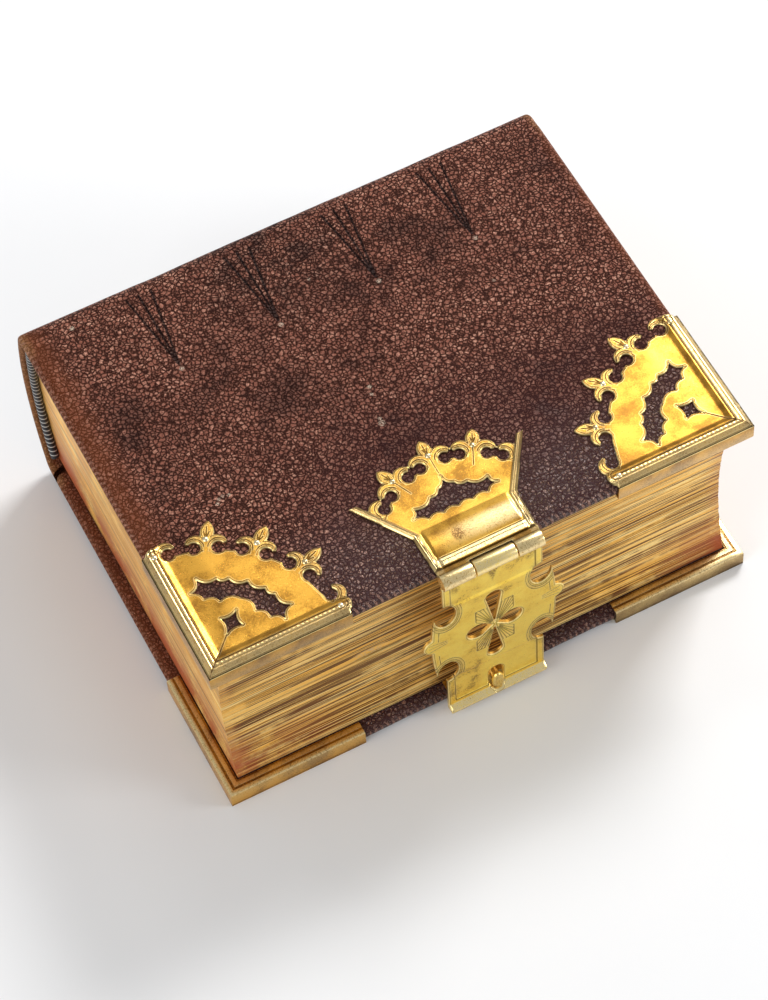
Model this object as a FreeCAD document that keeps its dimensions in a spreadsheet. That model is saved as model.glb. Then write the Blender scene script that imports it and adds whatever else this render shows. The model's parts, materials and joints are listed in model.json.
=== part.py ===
import FreeCAD, Part
import math
import os
import Sketcher
from FreeCAD import Placement, Rotation, Vector

# A small, thick prayer book with brass corners and a hinged clasp, lying on its back board.
# X runs along the spine, the fore-edge faces -Y, the spine faces +Y and the front cover faces +Z.
# The origin is at the bottom centre of the closed book. Lengths are in millimetres, angles in degrees.

SIZES = [
    # the boards and their covering
    ("board_length", 150.0, "boards, along the spine"),
    ("board_width", 112.0, "hinge line to fore-edge"),
    ("book_thickness", 66.0, "leather to leather, closed"),
    ("board_core", 2.8, "millboard"),
    ("leather_thickness", 0.9, "covering leather"),
    ("board_round", 1.1, "rounding of the millboard's edges"),
    ("square_width", 3.5, "how far the boards stand past the pages"),
    ("turn_in", 12.0, "leather turned over the inner face"),
    ("joint_gap", 0.3, "running gap between a cover and the block"),
    ("paper_thickness", 0.25, "endpapers"),
    ("paper_margin", 0.2, "pastedown to leather edge"),
    # the page block and the back
    ("fore_edge_hollow", 4.0, "depth of the hollow fore-edge"),
    ("spine_bulge", 9.0, "rounding of the back"),
    ("shoulder_radius", 5.0, "leather over the shoulders"),
    ("lining_thickness", 0.8, "glued lining on the back"),
    ("head_cap", 1.4, "doubled leather at both ends of the back"),
    ("end_band_diameter", 2.4, "stitched end bands"),
    # the raised bands and the tooled lines that run on from them
    ("band_count", 4, "raised bands"),
    ("band_spacing", 28.2, "band to band"),
    ("band_width", 6.0, "ridge in the leather"),
    ("band_rise", 1.6, "ridge above the back"),
    ("band_inset", 2.6, "end of a band below the shoulder"),
    ("tool_length", 26.0, "tooled lines from the hinge to their tip"),
    ("tool_spread", 3.6, "outer tooled lines from the middle one"),
    ("tool_width", 1.0, "tooled line at the hinge"),
    ("tool_tip", 0.5, "tooled lines where they meet at the tip"),
    ("tool_depth", 0.35, "tooled line"),
    # the brass corners
    ("brass_thickness", 0.6, "sheet brass of the corners"),
    ("corner_leg", 38.0, "corner plate along each edge"),
    ("rail_width", 4.6, "raised rail along each edge"),
    ("rail_rise", 0.5, "rail above the plate"),
    ("rail_bevel", 1.0, "bevel of the rail's outer edge"),
    ("corner_lip", 3.2, "lip turned under the board"),
    ("fret_radius", 36.5, "scroll eyes from the corner point"),
    ("fleur_reach", 8.0, "fleur tips beyond the scroll eyes"),
    ("fleur_width", 3.4, "middle petal"),
    ("fleur_step", 20.0, "angle between the fleurs of a corner"),
    ("scroll_angle", 4.8, "angle from a fleur to its scroll eye"),
    ("end_scroll_angle", 9.0, "angle from an edge to the scroll eye beside its rail"),
    ("scroll_radius", 2.5, "outside of a scroll"),
    ("eye_radius", 1.35, "hole in a scroll"),
    ("mouth_width", 1.3, "opening of a scroll"),
    ("mouth_turn", 50.0, "angle from a scroll's bearing to its opening"),
    ("piercing_bow", 0.14, "bow of the large piercing's sides, a share of their length"),
    ("star_bow", 0.12, "bow of the small piercing's sides, a share of their length"),
    ("pin_radius", 0.45, "pin shank"),
    ("pin_head", 0.8, "pin head radius"),
    ("pin_head_rise", 0.45, "pin head above the brass"),
    ("pin_depth", 3.0, "pin below the brass"),
    # the crown plate of the clasp
    ("crown_thickness", 0.8, "sheet brass of the crown"),
    ("crown_base", 14.0, "half width at the barrel"),
    ("crown_neck", 14.4, "half width at the neck"),
    ("crown_neck_reach", 10.8, "neck from the fore-edge"),
    ("crown_arm_span", 24.4, "half width at the flared tips"),
    ("crown_arm_reach", 26.0, "flared tips from the fore-edge"),
    ("crown_rail", 2.0, "bevelled border"),
    ("crown_rail_rise", 0.5, "border above the plate"),
    ("crown_fret_centre", 4.4, "centre of the crown's curve from the fore-edge"),
    ("crown_fret_radius", 24.2, "scroll eyes from that centre"),
    ("crown_fleur_reach", 7.4, "fleur tips beyond the scroll eyes"),
    ("crown_fleur_step", 25.5, "angle between the crown's fleurs"),
    ("crown_scroll_angle", 8.2, "angle from a crown fleur to its scroll eye"),
    ("crown_end_angle", 46.0, "angle from the middle line to the last scroll eyes"),
    ("crown_eye_bow", 0.12, "bow of the crown piercing's sides, a share of their length"),
    # the hinge barrel and the hanging arm
    ("barrel_diameter", 4.4, "hinge barrel"),
    ("barrel_drop", 1.2, "barrel axis below the front face"),
    ("knuckle_left", 8.7, "length of the left outer knuckle"),
    ("knuckle_right", 7.3, "length of the right outer knuckle"),
    ("knuckle_gap", 0.3, "running gap beside and around the middle knuckle"),
    ("hinge_pin_radius", 0.8, "hinge pin"),
    ("pin_clearance", 0.05, "pin in the middle knuckle"),
    ("arm_gap", 2.4, "fore-edge to the arm's inner face"),
    ("arm_thickness", 1.0, "arm plate"),
    ("arm_half_width", 14.0, "arm beside the barrel"),
    ("arm_foot", 2.0, "arm's lower end above the table"),
    ("lobe_centre", 35.0, "middle of the quatrefoil above the table"),
    ("lobe_half_span", 17.2, "rounded sides of the arm"),
    ("lobe_half_rise", 15.6, "rounded sides, up and down"),
    ("leaf_half_span", 20.0, "tips of the side leaves"),
    ("leaf_half_rise", 4.0, "side leaf"),
    ("notch_radius", 3.3, "round notches above and below the lobes"),
    ("notch_rise", 13.6, "notches from the middle of the quatrefoil"),
    ("notch_span", 14.6, "notches from the arm's middle line"),
    ("petal_root", 0.8, "point of each petal from the middle"),
    ("petal_rise", 14.0, "upright petals"),
    ("petal_rise_radius", 2.2, "round end of an upright petal"),
    ("petal_span", 7.8, "level petals"),
    ("petal_span_radius", 2.9, "round end of a level petal"),
    ("slot_half_width", 1.95, "slot for the stud"),
    ("slot_top", 12.6, "top of the slot above the table"),
    ("slot_foot", 4.6, "foot of the slot above the table"),
    ("lip_reach", 2.2, "finger lip beyond the arm"),
    ("lip_height", 2.0, "finger lip"),
    ("lip_chamfer", 0.66, "finger lip's outer edges"),
    # the catch on the back cover
    ("catch_half_width", 12.6, "catch plate"),
    ("catch_thickness", 0.7, "catch plate"),
    ("catch_leg", 16.0, "catch plate under the back board"),
    ("catch_pin_inset", 3.0, "catch pins from the plate's sides"),
    ("catch_pin_reach", 11.2, "catch pins from the fore-edge"),
    ("stud_radius", 1.2, "neck of the stud"),
    ("stud_head_radius", 1.6, "head of the stud"),
    ("stud_head_rise", 2.1, "half height of the oval head"),
    ("stud_height", 7.0, "middle of the stud above the table"),
    ("stud_reach", 1.2, "stud beyond the arm"),
    ("stud_chamfer", 0.4, "outer edge of the stud's head"),
]

# Points of the piercings, in order from the left edge's side; the other half is their mirror image.
# In a corner they are measured from the corner point, in the crown from the middle of the fore-edge.
WING = [(5.7, 23.1), (8.7, 26.2), (13.1, 23.8), (15.8, 22.4)]
WING_TIP = 19.6
BROW = [(11.3, 17.9), (8.1, 20.3)]
BROW_TIP = 16.2
STAR = [(8.6, 8.6), (9.2, 13.2), (13.6, 13.6), (13.2, 9.2)]
CROWN_EYE = [(-11.8, 15.6), (-10.2, 18.2), (-5.2, 19.4), (-2.2, 20.8)]
CROWN_EYE_TOP = 23.8
CROWN_EYE_SCALLOPS = [(8.2, 14.3), (4.1, 14.3)]
CROWN_EYE_FOOT = 14.3

PLACES = [
    ("half_length", "sizes.board_length / 2"),
    ("middle_height", "sizes.book_thickness / 2"),
    ("cover_thickness", "sizes.board_core + 2 * sizes.leather_thickness"),
    ("leather_round", "sizes.board_round + sizes.leather_thickness"),
    ("arm_middle", "sizes.arm_gap + sizes.arm_thickness / 2"),
    ("lip_front", "sizes.arm_gap + sizes.arm_thickness + sizes.lip_reach"),
    ("barrel_front", "arm_middle + sizes.barrel_diameter / 2"),
    ("stud_front", "sizes.arm_gap + sizes.arm_thickness + sizes.stud_reach"),
    ("clasp_reach", "max(lip_front; barrel_front; stud_front)"),
    ("book_depth", "sizes.board_width + clasp_reach + sizes.spine_bulge + sizes.band_rise"),
    ("fore_edge", "clasp_reach - book_depth / 2"),
    ("hinge_line", "fore_edge + sizes.board_width"),
    ("cover_back", "hinge_line - sizes.joint_gap"),
    ("front_inner", "sizes.book_thickness - cover_thickness"),
    ("leaf_half", "middle_height - cover_thickness - sizes.joint_gap"),
    ("block_half", "leaf_half - sizes.paper_thickness"),
    ("block_front", "fore_edge + sizes.square_width"),
    ("block_half_length", "half_length - sizes.square_width"),
    ("hollow_radius", "block_half ^ 2 / (2 * sizes.fore_edge_hollow) + sizes.fore_edge_hollow / 2"),
    ("shoulder_height", "middle_height - sizes.joint_gap - sizes.shoulder_radius"),
    ("back_rise", "sizes.spine_bulge - sizes.shoulder_radius"),
    ("ridge_rise", "back_rise + sizes.band_rise"),
    ("back_radius", "(back_rise ^ 2 + shoulder_height ^ 2) / (2 * back_rise) + sizes.shoulder_radius"),
    ("ridge_radius", "(ridge_rise ^ 2 + shoulder_height ^ 2) / (2 * ridge_rise) + sizes.shoulder_radius"),
    ("back_centre", "hinge_line + sizes.spine_bulge - back_radius"),
    ("ridge_centre", "back_centre + sizes.band_rise + back_radius - ridge_radius"),
    ("leather_inside", "back_radius - sizes.leather_thickness"),
    ("pages_back", "leather_inside - sizes.lining_thickness"),
    ("lining_half", "min(block_half; shoulder_height)"),
    ("band_half", "shoulder_height - sizes.band_inset"),
    ("ridge_half", "band_half + sizes.leather_thickness"),
    ("first_band", "-sizes.band_spacing * (sizes.band_count - 1) / 2"),
    ("hinge_height", "sizes.book_thickness - sizes.barrel_drop"),
    ("barrel_place", "fore_edge - arm_middle"),
    ("arm_top", "hinge_height - sizes.barrel_diameter / 2 - sizes.knuckle_gap"),
]

doc = FreeCAD.newDocument("antique_book")


def fill_sheet(name, rows):
    """Makes a sheet with one named cell a row."""
    sheet = doc.addObject("Spreadsheet::Sheet", name)
    for number, row in enumerate(rows, start=1):
        cell = f"B{number}"
        sheet.set(f"A{number}", row[-1].lstrip("="))
        sheet.set(cell, row[1] if isinstance(row[1], str) else str(row[1]))
        sheet.setAlias(cell, row[0])
    doc.recompute()
    return sheet


sizes = fill_sheet("sizes", SIZES)
places = fill_sheet("places", [(alias, "=" + formula) for alias, formula in PLACES])


def size(alias):
    """A driving size from the first sheet."""
    return float(sizes.get(alias))


def place(alias):
    """A worked-out place from the second sheet."""
    return float(places.get(alias))


def value(formula):
    """The number that a formula on the two sheets gives."""
    return float(places.evalExpression(formula))


# Bound solids

def block(name, lengths, corner):
    """A box with its three lengths and its lowest corner bound to the sheets."""
    solid = doc.addObject("Part::Box", name)
    for side, formula in zip(("Length", "Width", "Height"), lengths):
        solid.setExpression(side, formula)
    for axis, formula in zip("xyz", corner):
        solid.setExpression(f"Placement.Base.{axis}", formula)
    return solid


def rod(name, radius, length, start, turn):
    """A cylinder with its radius, length and start bound to the sheets."""
    solid = doc.addObject("Part::Cylinder", name)
    solid.Placement = Placement(Vector(), turn)
    solid.setExpression("Radius", radius)
    solid.setExpression("Height", length)
    for axis, formula in zip("xyz", start):
        solid.setExpression(f"Placement.Base.{axis}", formula)
    return solid


ALONG_X = Rotation(Vector(0, 1, 0), 90)
TOWARDS_FRONT = Rotation(Vector(1, 0, 0), 90)


def joined(name, pieces):
    """One object that fuses the given ones."""
    union = doc.addObject("Part::MultiFuse", name)
    union.Shapes = pieces
    return union


def cut(name, whole, tools):
    """The first object less all the others."""
    result = doc.addObject("Part::Cut", name)
    result.Base = whole
    result.Tool = tools[0] if len(tools) == 1 else joined(name + "_tools", tools)
    return result


def shaped(name, shape):
    """An object that holds a worked-out shape."""
    feature = doc.addObject("Part::Feature", name)
    feature.Shape = shape
    return feature


def origin_plane(body, role):
    """The body's own origin plane of that role."""
    return next(item for item in body.Origin.OriginFeatures if item.Role == role)


def draw_outline(body, name, role, corners, bends):
    """Draws a closed outline; bends gives the radius and the turn of the sides that are arcs."""
    sketch = body.newObject("Sketcher::SketchObject", name)
    sketch.AttachmentSupport = [(origin_plane(body, role), "")]
    sketch.MapMode = "FlatFace"
    spots = [Vector(value(across), value(up), 0) for across, up in corners]
    ends = []
    for number, begin in enumerate(spots):
        end = spots[(number + 1) % len(spots)]
        if number in bends:
            formula, turn = bends[number]
            radius = value(formula)
            chord = end - begin
            offset = math.sqrt(radius ** 2 - (chord.Length / 2) ** 2)
            left = Vector(-chord.y, chord.x, 0).normalize()
            middle = begin + chord * 0.5 + left * (turn * offset)
            low, high = (begin, end) if turn > 0 else (end, begin)
            angles = [math.atan2(spot.y - middle.y, spot.x - middle.x) for spot in (low, high)]
            circle = Part.Circle(middle, Vector(0, 0, 1), radius)
            side = sketch.addGeometry(Part.ArcOfCircle(circle, angles[0], angles[1]), False)
            spot = sketch.addConstraint(Sketcher.Constraint("Radius", side, radius))
            sketch.setExpression(f"Constraints[{spot}]", formula)
            ends.append((side, 1, 2) if turn > 0 else (side, 2, 1))
        else:
            side = sketch.addGeometry(Part.LineSegment(begin, end), False)
            ends.append((side, 1, 2))
    for number, (side, start, finish) in enumerate(ends):
        following, following_start, _ = ends[(number + 1) % len(ends)]
        sketch.addConstraint(Sketcher.Constraint("Coincident", side, finish, following, following_start))
        for kind, formula in zip(("DistanceX", "DistanceY"), corners[number]):
            spot = sketch.addConstraint(Sketcher.Constraint(kind, side, start, value(formula)))
            sketch.setExpression(f"Constraints[{spot}]", formula)
    return sketch


def pad(body, sketch, length, symmetric=True):
    """Thickens a sketch, to both sides unless told otherwise."""
    feature = body.newObject("PartDesign::Pad", sketch.Name + "_pad")
    feature.Profile = sketch
    feature.SideType = "Symmetric" if symmetric else "One side"
    feature.setExpression("Length", length)
    sketch.Visibility = False
    return feature


def pocket(body, sketch, length):
    """Cuts a sketch through the solid, to both sides."""
    feature = body.newObject("PartDesign::Pocket", sketch.Name + "_pocket")
    feature.Profile = sketch
    feature.SideType = "Symmetric"
    feature.setExpression("Length", length)
    return feature


def rounded_sheet(name, span, width_ends, thickness, height, rounding):
    """A flat sheet lying at a height, with all its edges rounded."""
    body = doc.addObject("PartDesign::Body", name)
    front, back = width_ends
    left, right = f"-({span})", span
    corners = [(left, front), (right, front), (right, back), (left, back)]
    sketch = draw_outline(body, name + "_outline", "XY_Plane", corners, {})
    slab_feature = pad(body, sketch, thickness, symmetric=False)
    doc.recompute()
    edges = [f"Edge{number + 1}" for number in range(len(slab_feature.Shape.Edges))]
    fillet = body.newObject("PartDesign::Fillet", name + "_round")
    fillet.Base = (slab_feature, edges)
    fillet.setExpression("Radius", rounding)
    body.setExpression("Placement.Base.z", height)
    return body


# Flat solids for the pierced brass, drawn in the XY plane and thickened towards +Z

def disc(across, up, radius, depth):
    """A round of sheet."""
    return Part.makeCylinder(radius, depth, Vector(across, up, 0))


def plate(points, depth):
    """A sheet with straight sides."""
    loop = [Vector(across, up, 0) for across, up in points]
    return Part.Face(Part.makePolygon(loop + loop[:1])).extrude(Vector(0, 0, depth))


def scalloped(points, dip, depth):
    """A sheet whose sides bow to the left of their travel by a share of their length."""
    edges = []
    for number, (across, up) in enumerate(points):
        begin = Vector(across, up, 0)
        end = Vector(*points[(number + 1) % len(points)], 0)
        chord = end - begin
        crown = begin + chord * 0.5 + Vector(-chord.y, chord.x, 0) * dip
        edges.append(Part.Arc(begin, crown, end).toShape())
    return Part.Face(Part.Wire(edges)).extrude(Vector(0, 0, depth))


def turned(shape, across, up, angle):
    """A shape turned about +Z and moved."""
    result = shape.copy()
    result.Placement = Placement(Vector(across, up, 0), Rotation(Vector(0, 0, 1), angle))
    return result


def leaf(across, up, angle, length, width, depth):
    """A pointed petal that starts at a point."""
    bow = width / 2 / length
    return turned(scalloped([(0, 0), (length, 0)], -bow, depth), across, up, angle)


def slot(across, up, angle, length, width, depth):
    """A straight narrow opening that starts at a point."""
    return turned(Part.makeBox(length, width, depth, Vector(0, -width / 2, 0)), across, up, angle)


def teardrop(across, up, angle, length, radius, depth):
    """A petal with its point at a point and a round far end."""
    far = length - radius
    swing = math.asin(radius / far)
    touch = Vector(math.cos(swing), math.sin(swing), 0) * (far * math.cos(swing))
    under = Vector(touch.x, -touch.y, 0)
    edges = [
        Part.LineSegment(Vector(), under).toShape(),
        Part.Arc(under, Vector(length, 0, 0), touch).toShape(),
        Part.LineSegment(touch, Vector()).toShape(),
    ]
    return turned(Part.Face(Part.Wire(edges)).extrude(Vector(0, 0, depth)), across, up, angle)


def polar(centre, radius, angle):
    """A point at a distance and an angle from a centre."""
    bearing = math.radians(angle)
    return centre[0] + radius * math.cos(bearing), centre[1] + radius * math.sin(bearing)


def fret_border(centre, radius, reach, fleurs, scroll_angle, ends, depth):
    """The fleurs and scrolls round a curved brass border, and the openings to cut in them."""
    added, removed = [], []
    scrolls = [(angle + side * scroll_angle, side) for angle in fleurs for side in (-1, 1)]
    scrolls += [(ends[0], 1), (ends[1], -1)]
    for angle, side in scrolls:
        spot = polar(centre, radius, angle)
        added.append(disc(*spot, size("scroll_radius"), depth))
        removed.append(disc(*spot, size("eye_radius"), depth))
        mouth = angle + side * size("mouth_turn")
        removed.append(slot(*spot, mouth, 2 * size("scroll_radius"), size("mouth_width"), depth))
    for angle in fleurs:
        foot = polar(centre, radius, angle)
        added.append(disc(*foot, size("fleur_width") / 2, depth))
        added.append(leaf(*foot, angle, reach, size("fleur_width"), depth))
    return added, removed


def corner_fleurs():
    """The angles of a corner's three fleurs."""
    return [45 + step * size("fleur_step") for step in (1, 0, -1)]


def pin_spots():
    """Where the pins stand on a corner plate."""
    spots = [polar((0, 0), size("fret_radius"), angle) for angle in corner_fleurs()]
    beside = size("corner_leg") - 2 * size("pin_head")
    near = size("rail_width") / 2
    return spots + [(near, beside), (beside, near)]


def corner_plate(rise):
    """One pierced corner, its point at the origin and the board's outer face at height 0."""
    depth = size("brass_thickness")
    leg = size("corner_leg")
    wall = depth
    cover = place("cover_thickness")
    radius = size("fret_radius")
    web = radius - size("eye_radius")
    top = rise
    last = size("end_scroll_angle")
    added, removed = fret_border((0, 0), radius, size("fleur_reach"), corner_fleurs(),
                                 size("scroll_angle"), (90 - last, last), depth)
    sector = Part.makeCylinder(web, depth, Vector(), Vector(0, 0, 1), 90)
    rail = size("rail_width")
    legs = [plate([(0, 0), (leg, 0), (leg, rail), (0, rail)], depth),
            plate([(0, 0), (rail, 0), (rail, leg), (0, leg)], depth)]
    sheet = sector.multiFuse(added + legs)
    flip = [(up, across) for across, up in reversed(WING)]
    bat = WING + [(WING_TIP, WING_TIP)] + flip + [(up, across) for across, up in reversed(BROW)]
    bat += [(BROW_TIP, BROW_TIP)] + BROW
    removed.append(scalloped(bat, -size("piercing_bow"), depth))
    removed.append(scalloped(STAR, -size("star_bow"), depth))
    sheet = sheet.cut(removed)
    sheet.translate(Vector(0, 0, top - depth))
    lip = size("corner_lip")
    bevel = size("rail_bevel")
    crest = top + (size("rail_rise") if top > 0 else 0)
    slope = bevel if top > 0 else bevel / 2
    section = [(-wall, -cover - wall), (lip, -cover - wall), (lip, -cover), (0, -cover), (0, top - depth),
               (rail, top - depth), (rail, crest), (slope, crest), (-wall, crest - slope)]
    loop = [Vector(across, -wall, height) for across, height in section]
    bar = Part.Face(Part.makePolygon(loop + loop[:1])).extrude(Vector(0, leg + wall, 0))
    mitre = plate([(-wall, -wall), (leg, leg), (-wall, leg)], 4 * cover)
    mitre.translate(Vector(0, 0, -2 * cover))
    bar = bar.common(mitre)
    across_bar = bar.mirror(Vector(), Vector(1, -1, 0))
    return sheet.multiFuse([bar, across_bar]).removeSplitter()


def corner_pins(rise, depth):
    """The pins of one corner plate: a low round head and a shank through the brass."""
    pins = []
    for across, up in pin_spots():
        head_base = rise
        on_rail = min(across, up) < size("rail_width")
        if rise > 0 and on_rail:
            head_base = rise + size("rail_rise")
        shank = Part.makeCylinder(size("pin_radius"), depth + head_base, Vector(across, up, -depth))
        pieces = [shank]
        if rise > 0:
            head = Part.makeCone(size("pin_head"), size("pin_radius"), size("pin_head_rise"),
                                 Vector(across, up, head_base))
            pieces.append(head)
        pins.append(pieces[0].fuse(pieces[1]) if len(pieces) > 1 else shank)
    return pins


def at_corner(shape, side, front):
    """Moves a corner shape to the left (-1) or right (1) fore-edge corner of a cover."""
    moved = shape.copy()
    if side > 0:
        moved = moved.mirror(Vector(), Vector(1, 0, 0))
    if not front:
        moved = moved.mirror(Vector(), Vector(0, 0, 1))
    height = size("book_thickness") if front else 0
    moved.translate(Vector(side * place("half_length"), place("fore_edge"), height))
    return moved


def compound(shapes):
    """Separate solids in one shape."""
    return Part.makeCompound(shapes)


# The covers

def tooled_lines():
    """Three lines beside each raised band, fanned at the hinge and meeting at a tip."""
    lines = []
    depth = size("tool_depth")
    half, blunt = size("tool_width") / 2, size("tool_tip") / 2
    start = place("cover_back") - place("leather_round") - half
    tip = place("hinge_line") - size("tool_length")
    for band in range(int(size("band_count"))):
        middle = place("first_band") + band * size("band_spacing")
        for side in (-1, 0, 1):
            head = middle + side * size("tool_spread")
            lines.append(plate([(head - half, start), (head + half, start), (middle + blunt, tip),
                                (middle - blunt, tip)], depth))
    union = lines[0].multiFuse(lines[1:])
    union.translate(Vector(0, 0, size("book_thickness") - depth))
    return union


def make_cover(side, extra_cuts):
    """The board, its leather and its pastedown, for the front or the back."""
    front = side == "front"
    leather = "sizes.leather_thickness"
    low = "places.front_inner" if front else "0"
    inner_low = low if front else f"places.cover_thickness - {leather}"
    core = rounded_sheet(f"{side}_blank", f"places.half_length - {leather}",
                         (f"places.fore_edge + {leather}", f"places.cover_back - {leather}"),
                         "sizes.board_core", f"{low} + {leather}", "sizes.board_round")
    case = rounded_sheet(f"{side}_case", "places.half_length", ("places.fore_edge", "places.cover_back"),
                         "places.cover_thickness", low, "places.leather_round")
    window_length = "2 * (places.half_length - sizes.turn_in)"
    window_width = f"sizes.board_width - sizes.joint_gap - sizes.turn_in - 2 * places.leather_round"
    window = block(f"{side}_window", (window_length, window_width, leather),
                   ("-places.half_length + sizes.turn_in", "places.fore_edge + sizes.turn_in", inner_low))
    margin = "sizes.paper_margin"
    paper_low = f"{inner_low} + {leather} - sizes.paper_thickness" if front else inner_low
    paper = block(f"{side}_pastedown",
                  (f"{window_length} - 2 * {margin}", f"{window_width} - 2 * {margin}",
                   "sizes.paper_thickness"),
                  (f"-places.half_length + sizes.turn_in + {margin}",
                   f"places.fore_edge + sizes.turn_in + {margin}", paper_low))
    covering = cut(f"{side}_leather", case, [core, window] + extra_cuts)
    return core, covering, paper


# The page block and the back

def spine_form(body, name, radius, centre, inset):
    """The section of the back with its rounded shoulders, drawn across the book."""
    bend = f"(sizes.shoulder_radius - {inset})"
    touch_across = (f"{centre} + (places.hinge_line - {centre})"
                    f" * ({radius} - {inset}) / ({radius} - sizes.shoulder_radius)")
    touch_rise = f"places.shoulder_height * ({radius} - {inset}) / ({radius} - sizes.shoulder_radius)"
    end_rise = f"places.shoulder_height + {bend}"
    corners = [
        ("places.hinge_line", f"places.middle_height - ({end_rise})"),
        (touch_across, f"places.middle_height - {touch_rise}"),
        (touch_across, f"places.middle_height + {touch_rise}"),
        ("places.hinge_line", f"places.middle_height + {end_rise}"),
    ]
    bends = {0: (bend, 1), 1: (f"({radius} - {inset})", 1), 2: (bend, 1)}
    return draw_outline(body, name, "YZ_Plane", corners, bends)


def crescent(body, name, outer, inner, half):
    """The section of a layer between two arcs, each a radius and a centre across the book."""
    low, high = f"places.middle_height - {half}", f"places.middle_height + {half}"
    outer_across, inner_across = [f"{centre} + sqrt({radius} ^ 2 - {half} ^ 2)"
                                  for radius, centre in (outer, inner)]
    corners = [(inner_across, low), (outer_across, low), (outer_across, high), (inner_across, high)]
    return draw_outline(body, name, "YZ_Plane", corners, {1: (outer[0], 1), 3: (inner[0], -1)})


def make_spine(bands):
    """The leather over the back, hollow inside, with a ridge over each band."""
    body = doc.addObject("PartDesign::Body", "spine_case")
    outside = spine_form(body, "back_section", "places.back_radius", "places.back_centre", "0")
    pad(body, outside, "sizes.board_length")
    ridge = crescent(body, "ridge_section", ("places.ridge_radius", "places.ridge_centre"),
                     ("(places.back_radius - sizes.leather_thickness / 2)", "places.back_centre"),
                     "places.ridge_half")
    ridge.setExpression("AttachmentOffset.Base.z", "places.first_band")
    ridge_pad = pad(body, ridge, "sizes.band_width")
    doc.recompute()
    pattern = body.newObject("PartDesign::LinearPattern", "ridge_pattern")
    pattern.Originals = [ridge_pad]
    pattern.Direction = (ridge, ["N_Axis"])
    pattern.setExpression("Length", "sizes.band_spacing * (sizes.band_count - 1)")
    pattern.setExpression("Occurrences", "sizes.band_count")
    body.Tip = pattern
    doc.recompute()
    double = "(2 * sizes.leather_thickness)"
    through = spine_form(body, "cap_section", "places.back_radius", "places.back_centre", double)
    pocket(body, through, "sizes.board_length")
    inside = spine_form(body, "inner_section", "places.back_radius", "places.back_centre",
                        "sizes.leather_thickness")
    pocket(body, inside, "sizes.board_length - 2 * sizes.head_cap")
    return cut("spine_leather", body, bands)


def make_bands():
    """The raised bands that lie on the lining under the leather."""
    bands = []
    for number in range(int(size("band_count"))):
        body = doc.addObject("PartDesign::Body", f"sewing_band_{number + 1}")
        sketch = crescent(body, f"band_section_{number + 1}",
                          ("(places.ridge_radius - sizes.leather_thickness)", "places.ridge_centre"),
                          ("places.leather_inside", "places.back_centre"), "places.band_half")
        pad(body, sketch, "sizes.band_width - 2 * sizes.leather_thickness")
        body.setExpression("Placement.Base.x", f"places.first_band + {number} * sizes.band_spacing")
        bands.append(body)
    return bands


def make_lining():
    """The layer glued to the round of the pages."""
    body = doc.addObject("PartDesign::Body", "spine_lining")
    sketch = crescent(body, "lining_section", ("places.leather_inside", "places.back_centre"),
                      ("places.pages_back", "places.back_centre"), "places.lining_half")
    pad(body, sketch, "2 * places.block_half_length")
    return body


def make_block():
    """All the pages as one solid, hollow at the fore-edge and round at the back."""
    body = doc.addObject("PartDesign::Body", "text_block")
    half = "places.block_half"
    back = f"places.back_centre + sqrt(places.pages_back ^ 2 - {half} ^ 2)"
    low, high = f"places.middle_height - {half}", f"places.middle_height + {half}"
    corners = [("places.block_front", low), (back, low), (back, high), ("places.block_front", high)]
    bends = {1: ("places.pages_back", 1), 3: ("places.hollow_radius", -1)}
    sketch = draw_outline(body, "page_section", "YZ_Plane", corners, bends)
    pad(body, sketch, "2 * places.block_half_length")
    return body


def make_flyleaf(name, low):
    """A free endpaper on the face of the page block."""
    back = "places.back_centre + sqrt(places.pages_back ^ 2 - places.leaf_half ^ 2)"
    return block(name, ("2 * places.block_half_length", f"{back} - places.block_front",
                        "sizes.paper_thickness"),
                 ("-places.block_half_length", "places.block_front", low))


def make_end_band(name, side):
    """A stitched roll along the round of the pages at one end."""
    bend = doc.addObject("Part::Torus", name)
    bend.setExpression("Radius1", "places.pages_back - sizes.end_band_diameter / 2")
    bend.setExpression("Radius2", "sizes.end_band_diameter / 2")
    middle = place("pages_back") - size("end_band_diameter") / 2
    sweep = math.degrees(math.asin((place("block_half") - size("end_band_diameter") / 2) / middle))
    bend.Angle3 = 2 * sweep
    along = side * (place("block_half_length") + size("end_band_diameter") / 2)
    spin = Rotation(Vector(0, 0, 1), 90 - sweep)
    bend.Placement = Placement(Vector(along, place("back_centre"), place("middle_height")),
                               ALONG_X.multiply(spin))
    return bend


# The clasp

def crown_fleurs():
    """The angles of the crown's three fleurs."""
    return [90 + step * size("crown_fleur_step") for step in (1, 0, -1)]


def crown_pin_spots():
    """Where the pins stand on the crown plate."""
    centre = (0, size("crown_fret_centre"))
    return [polar(centre, size("crown_fret_radius"), angle) for angle in crown_fleurs()]


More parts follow.
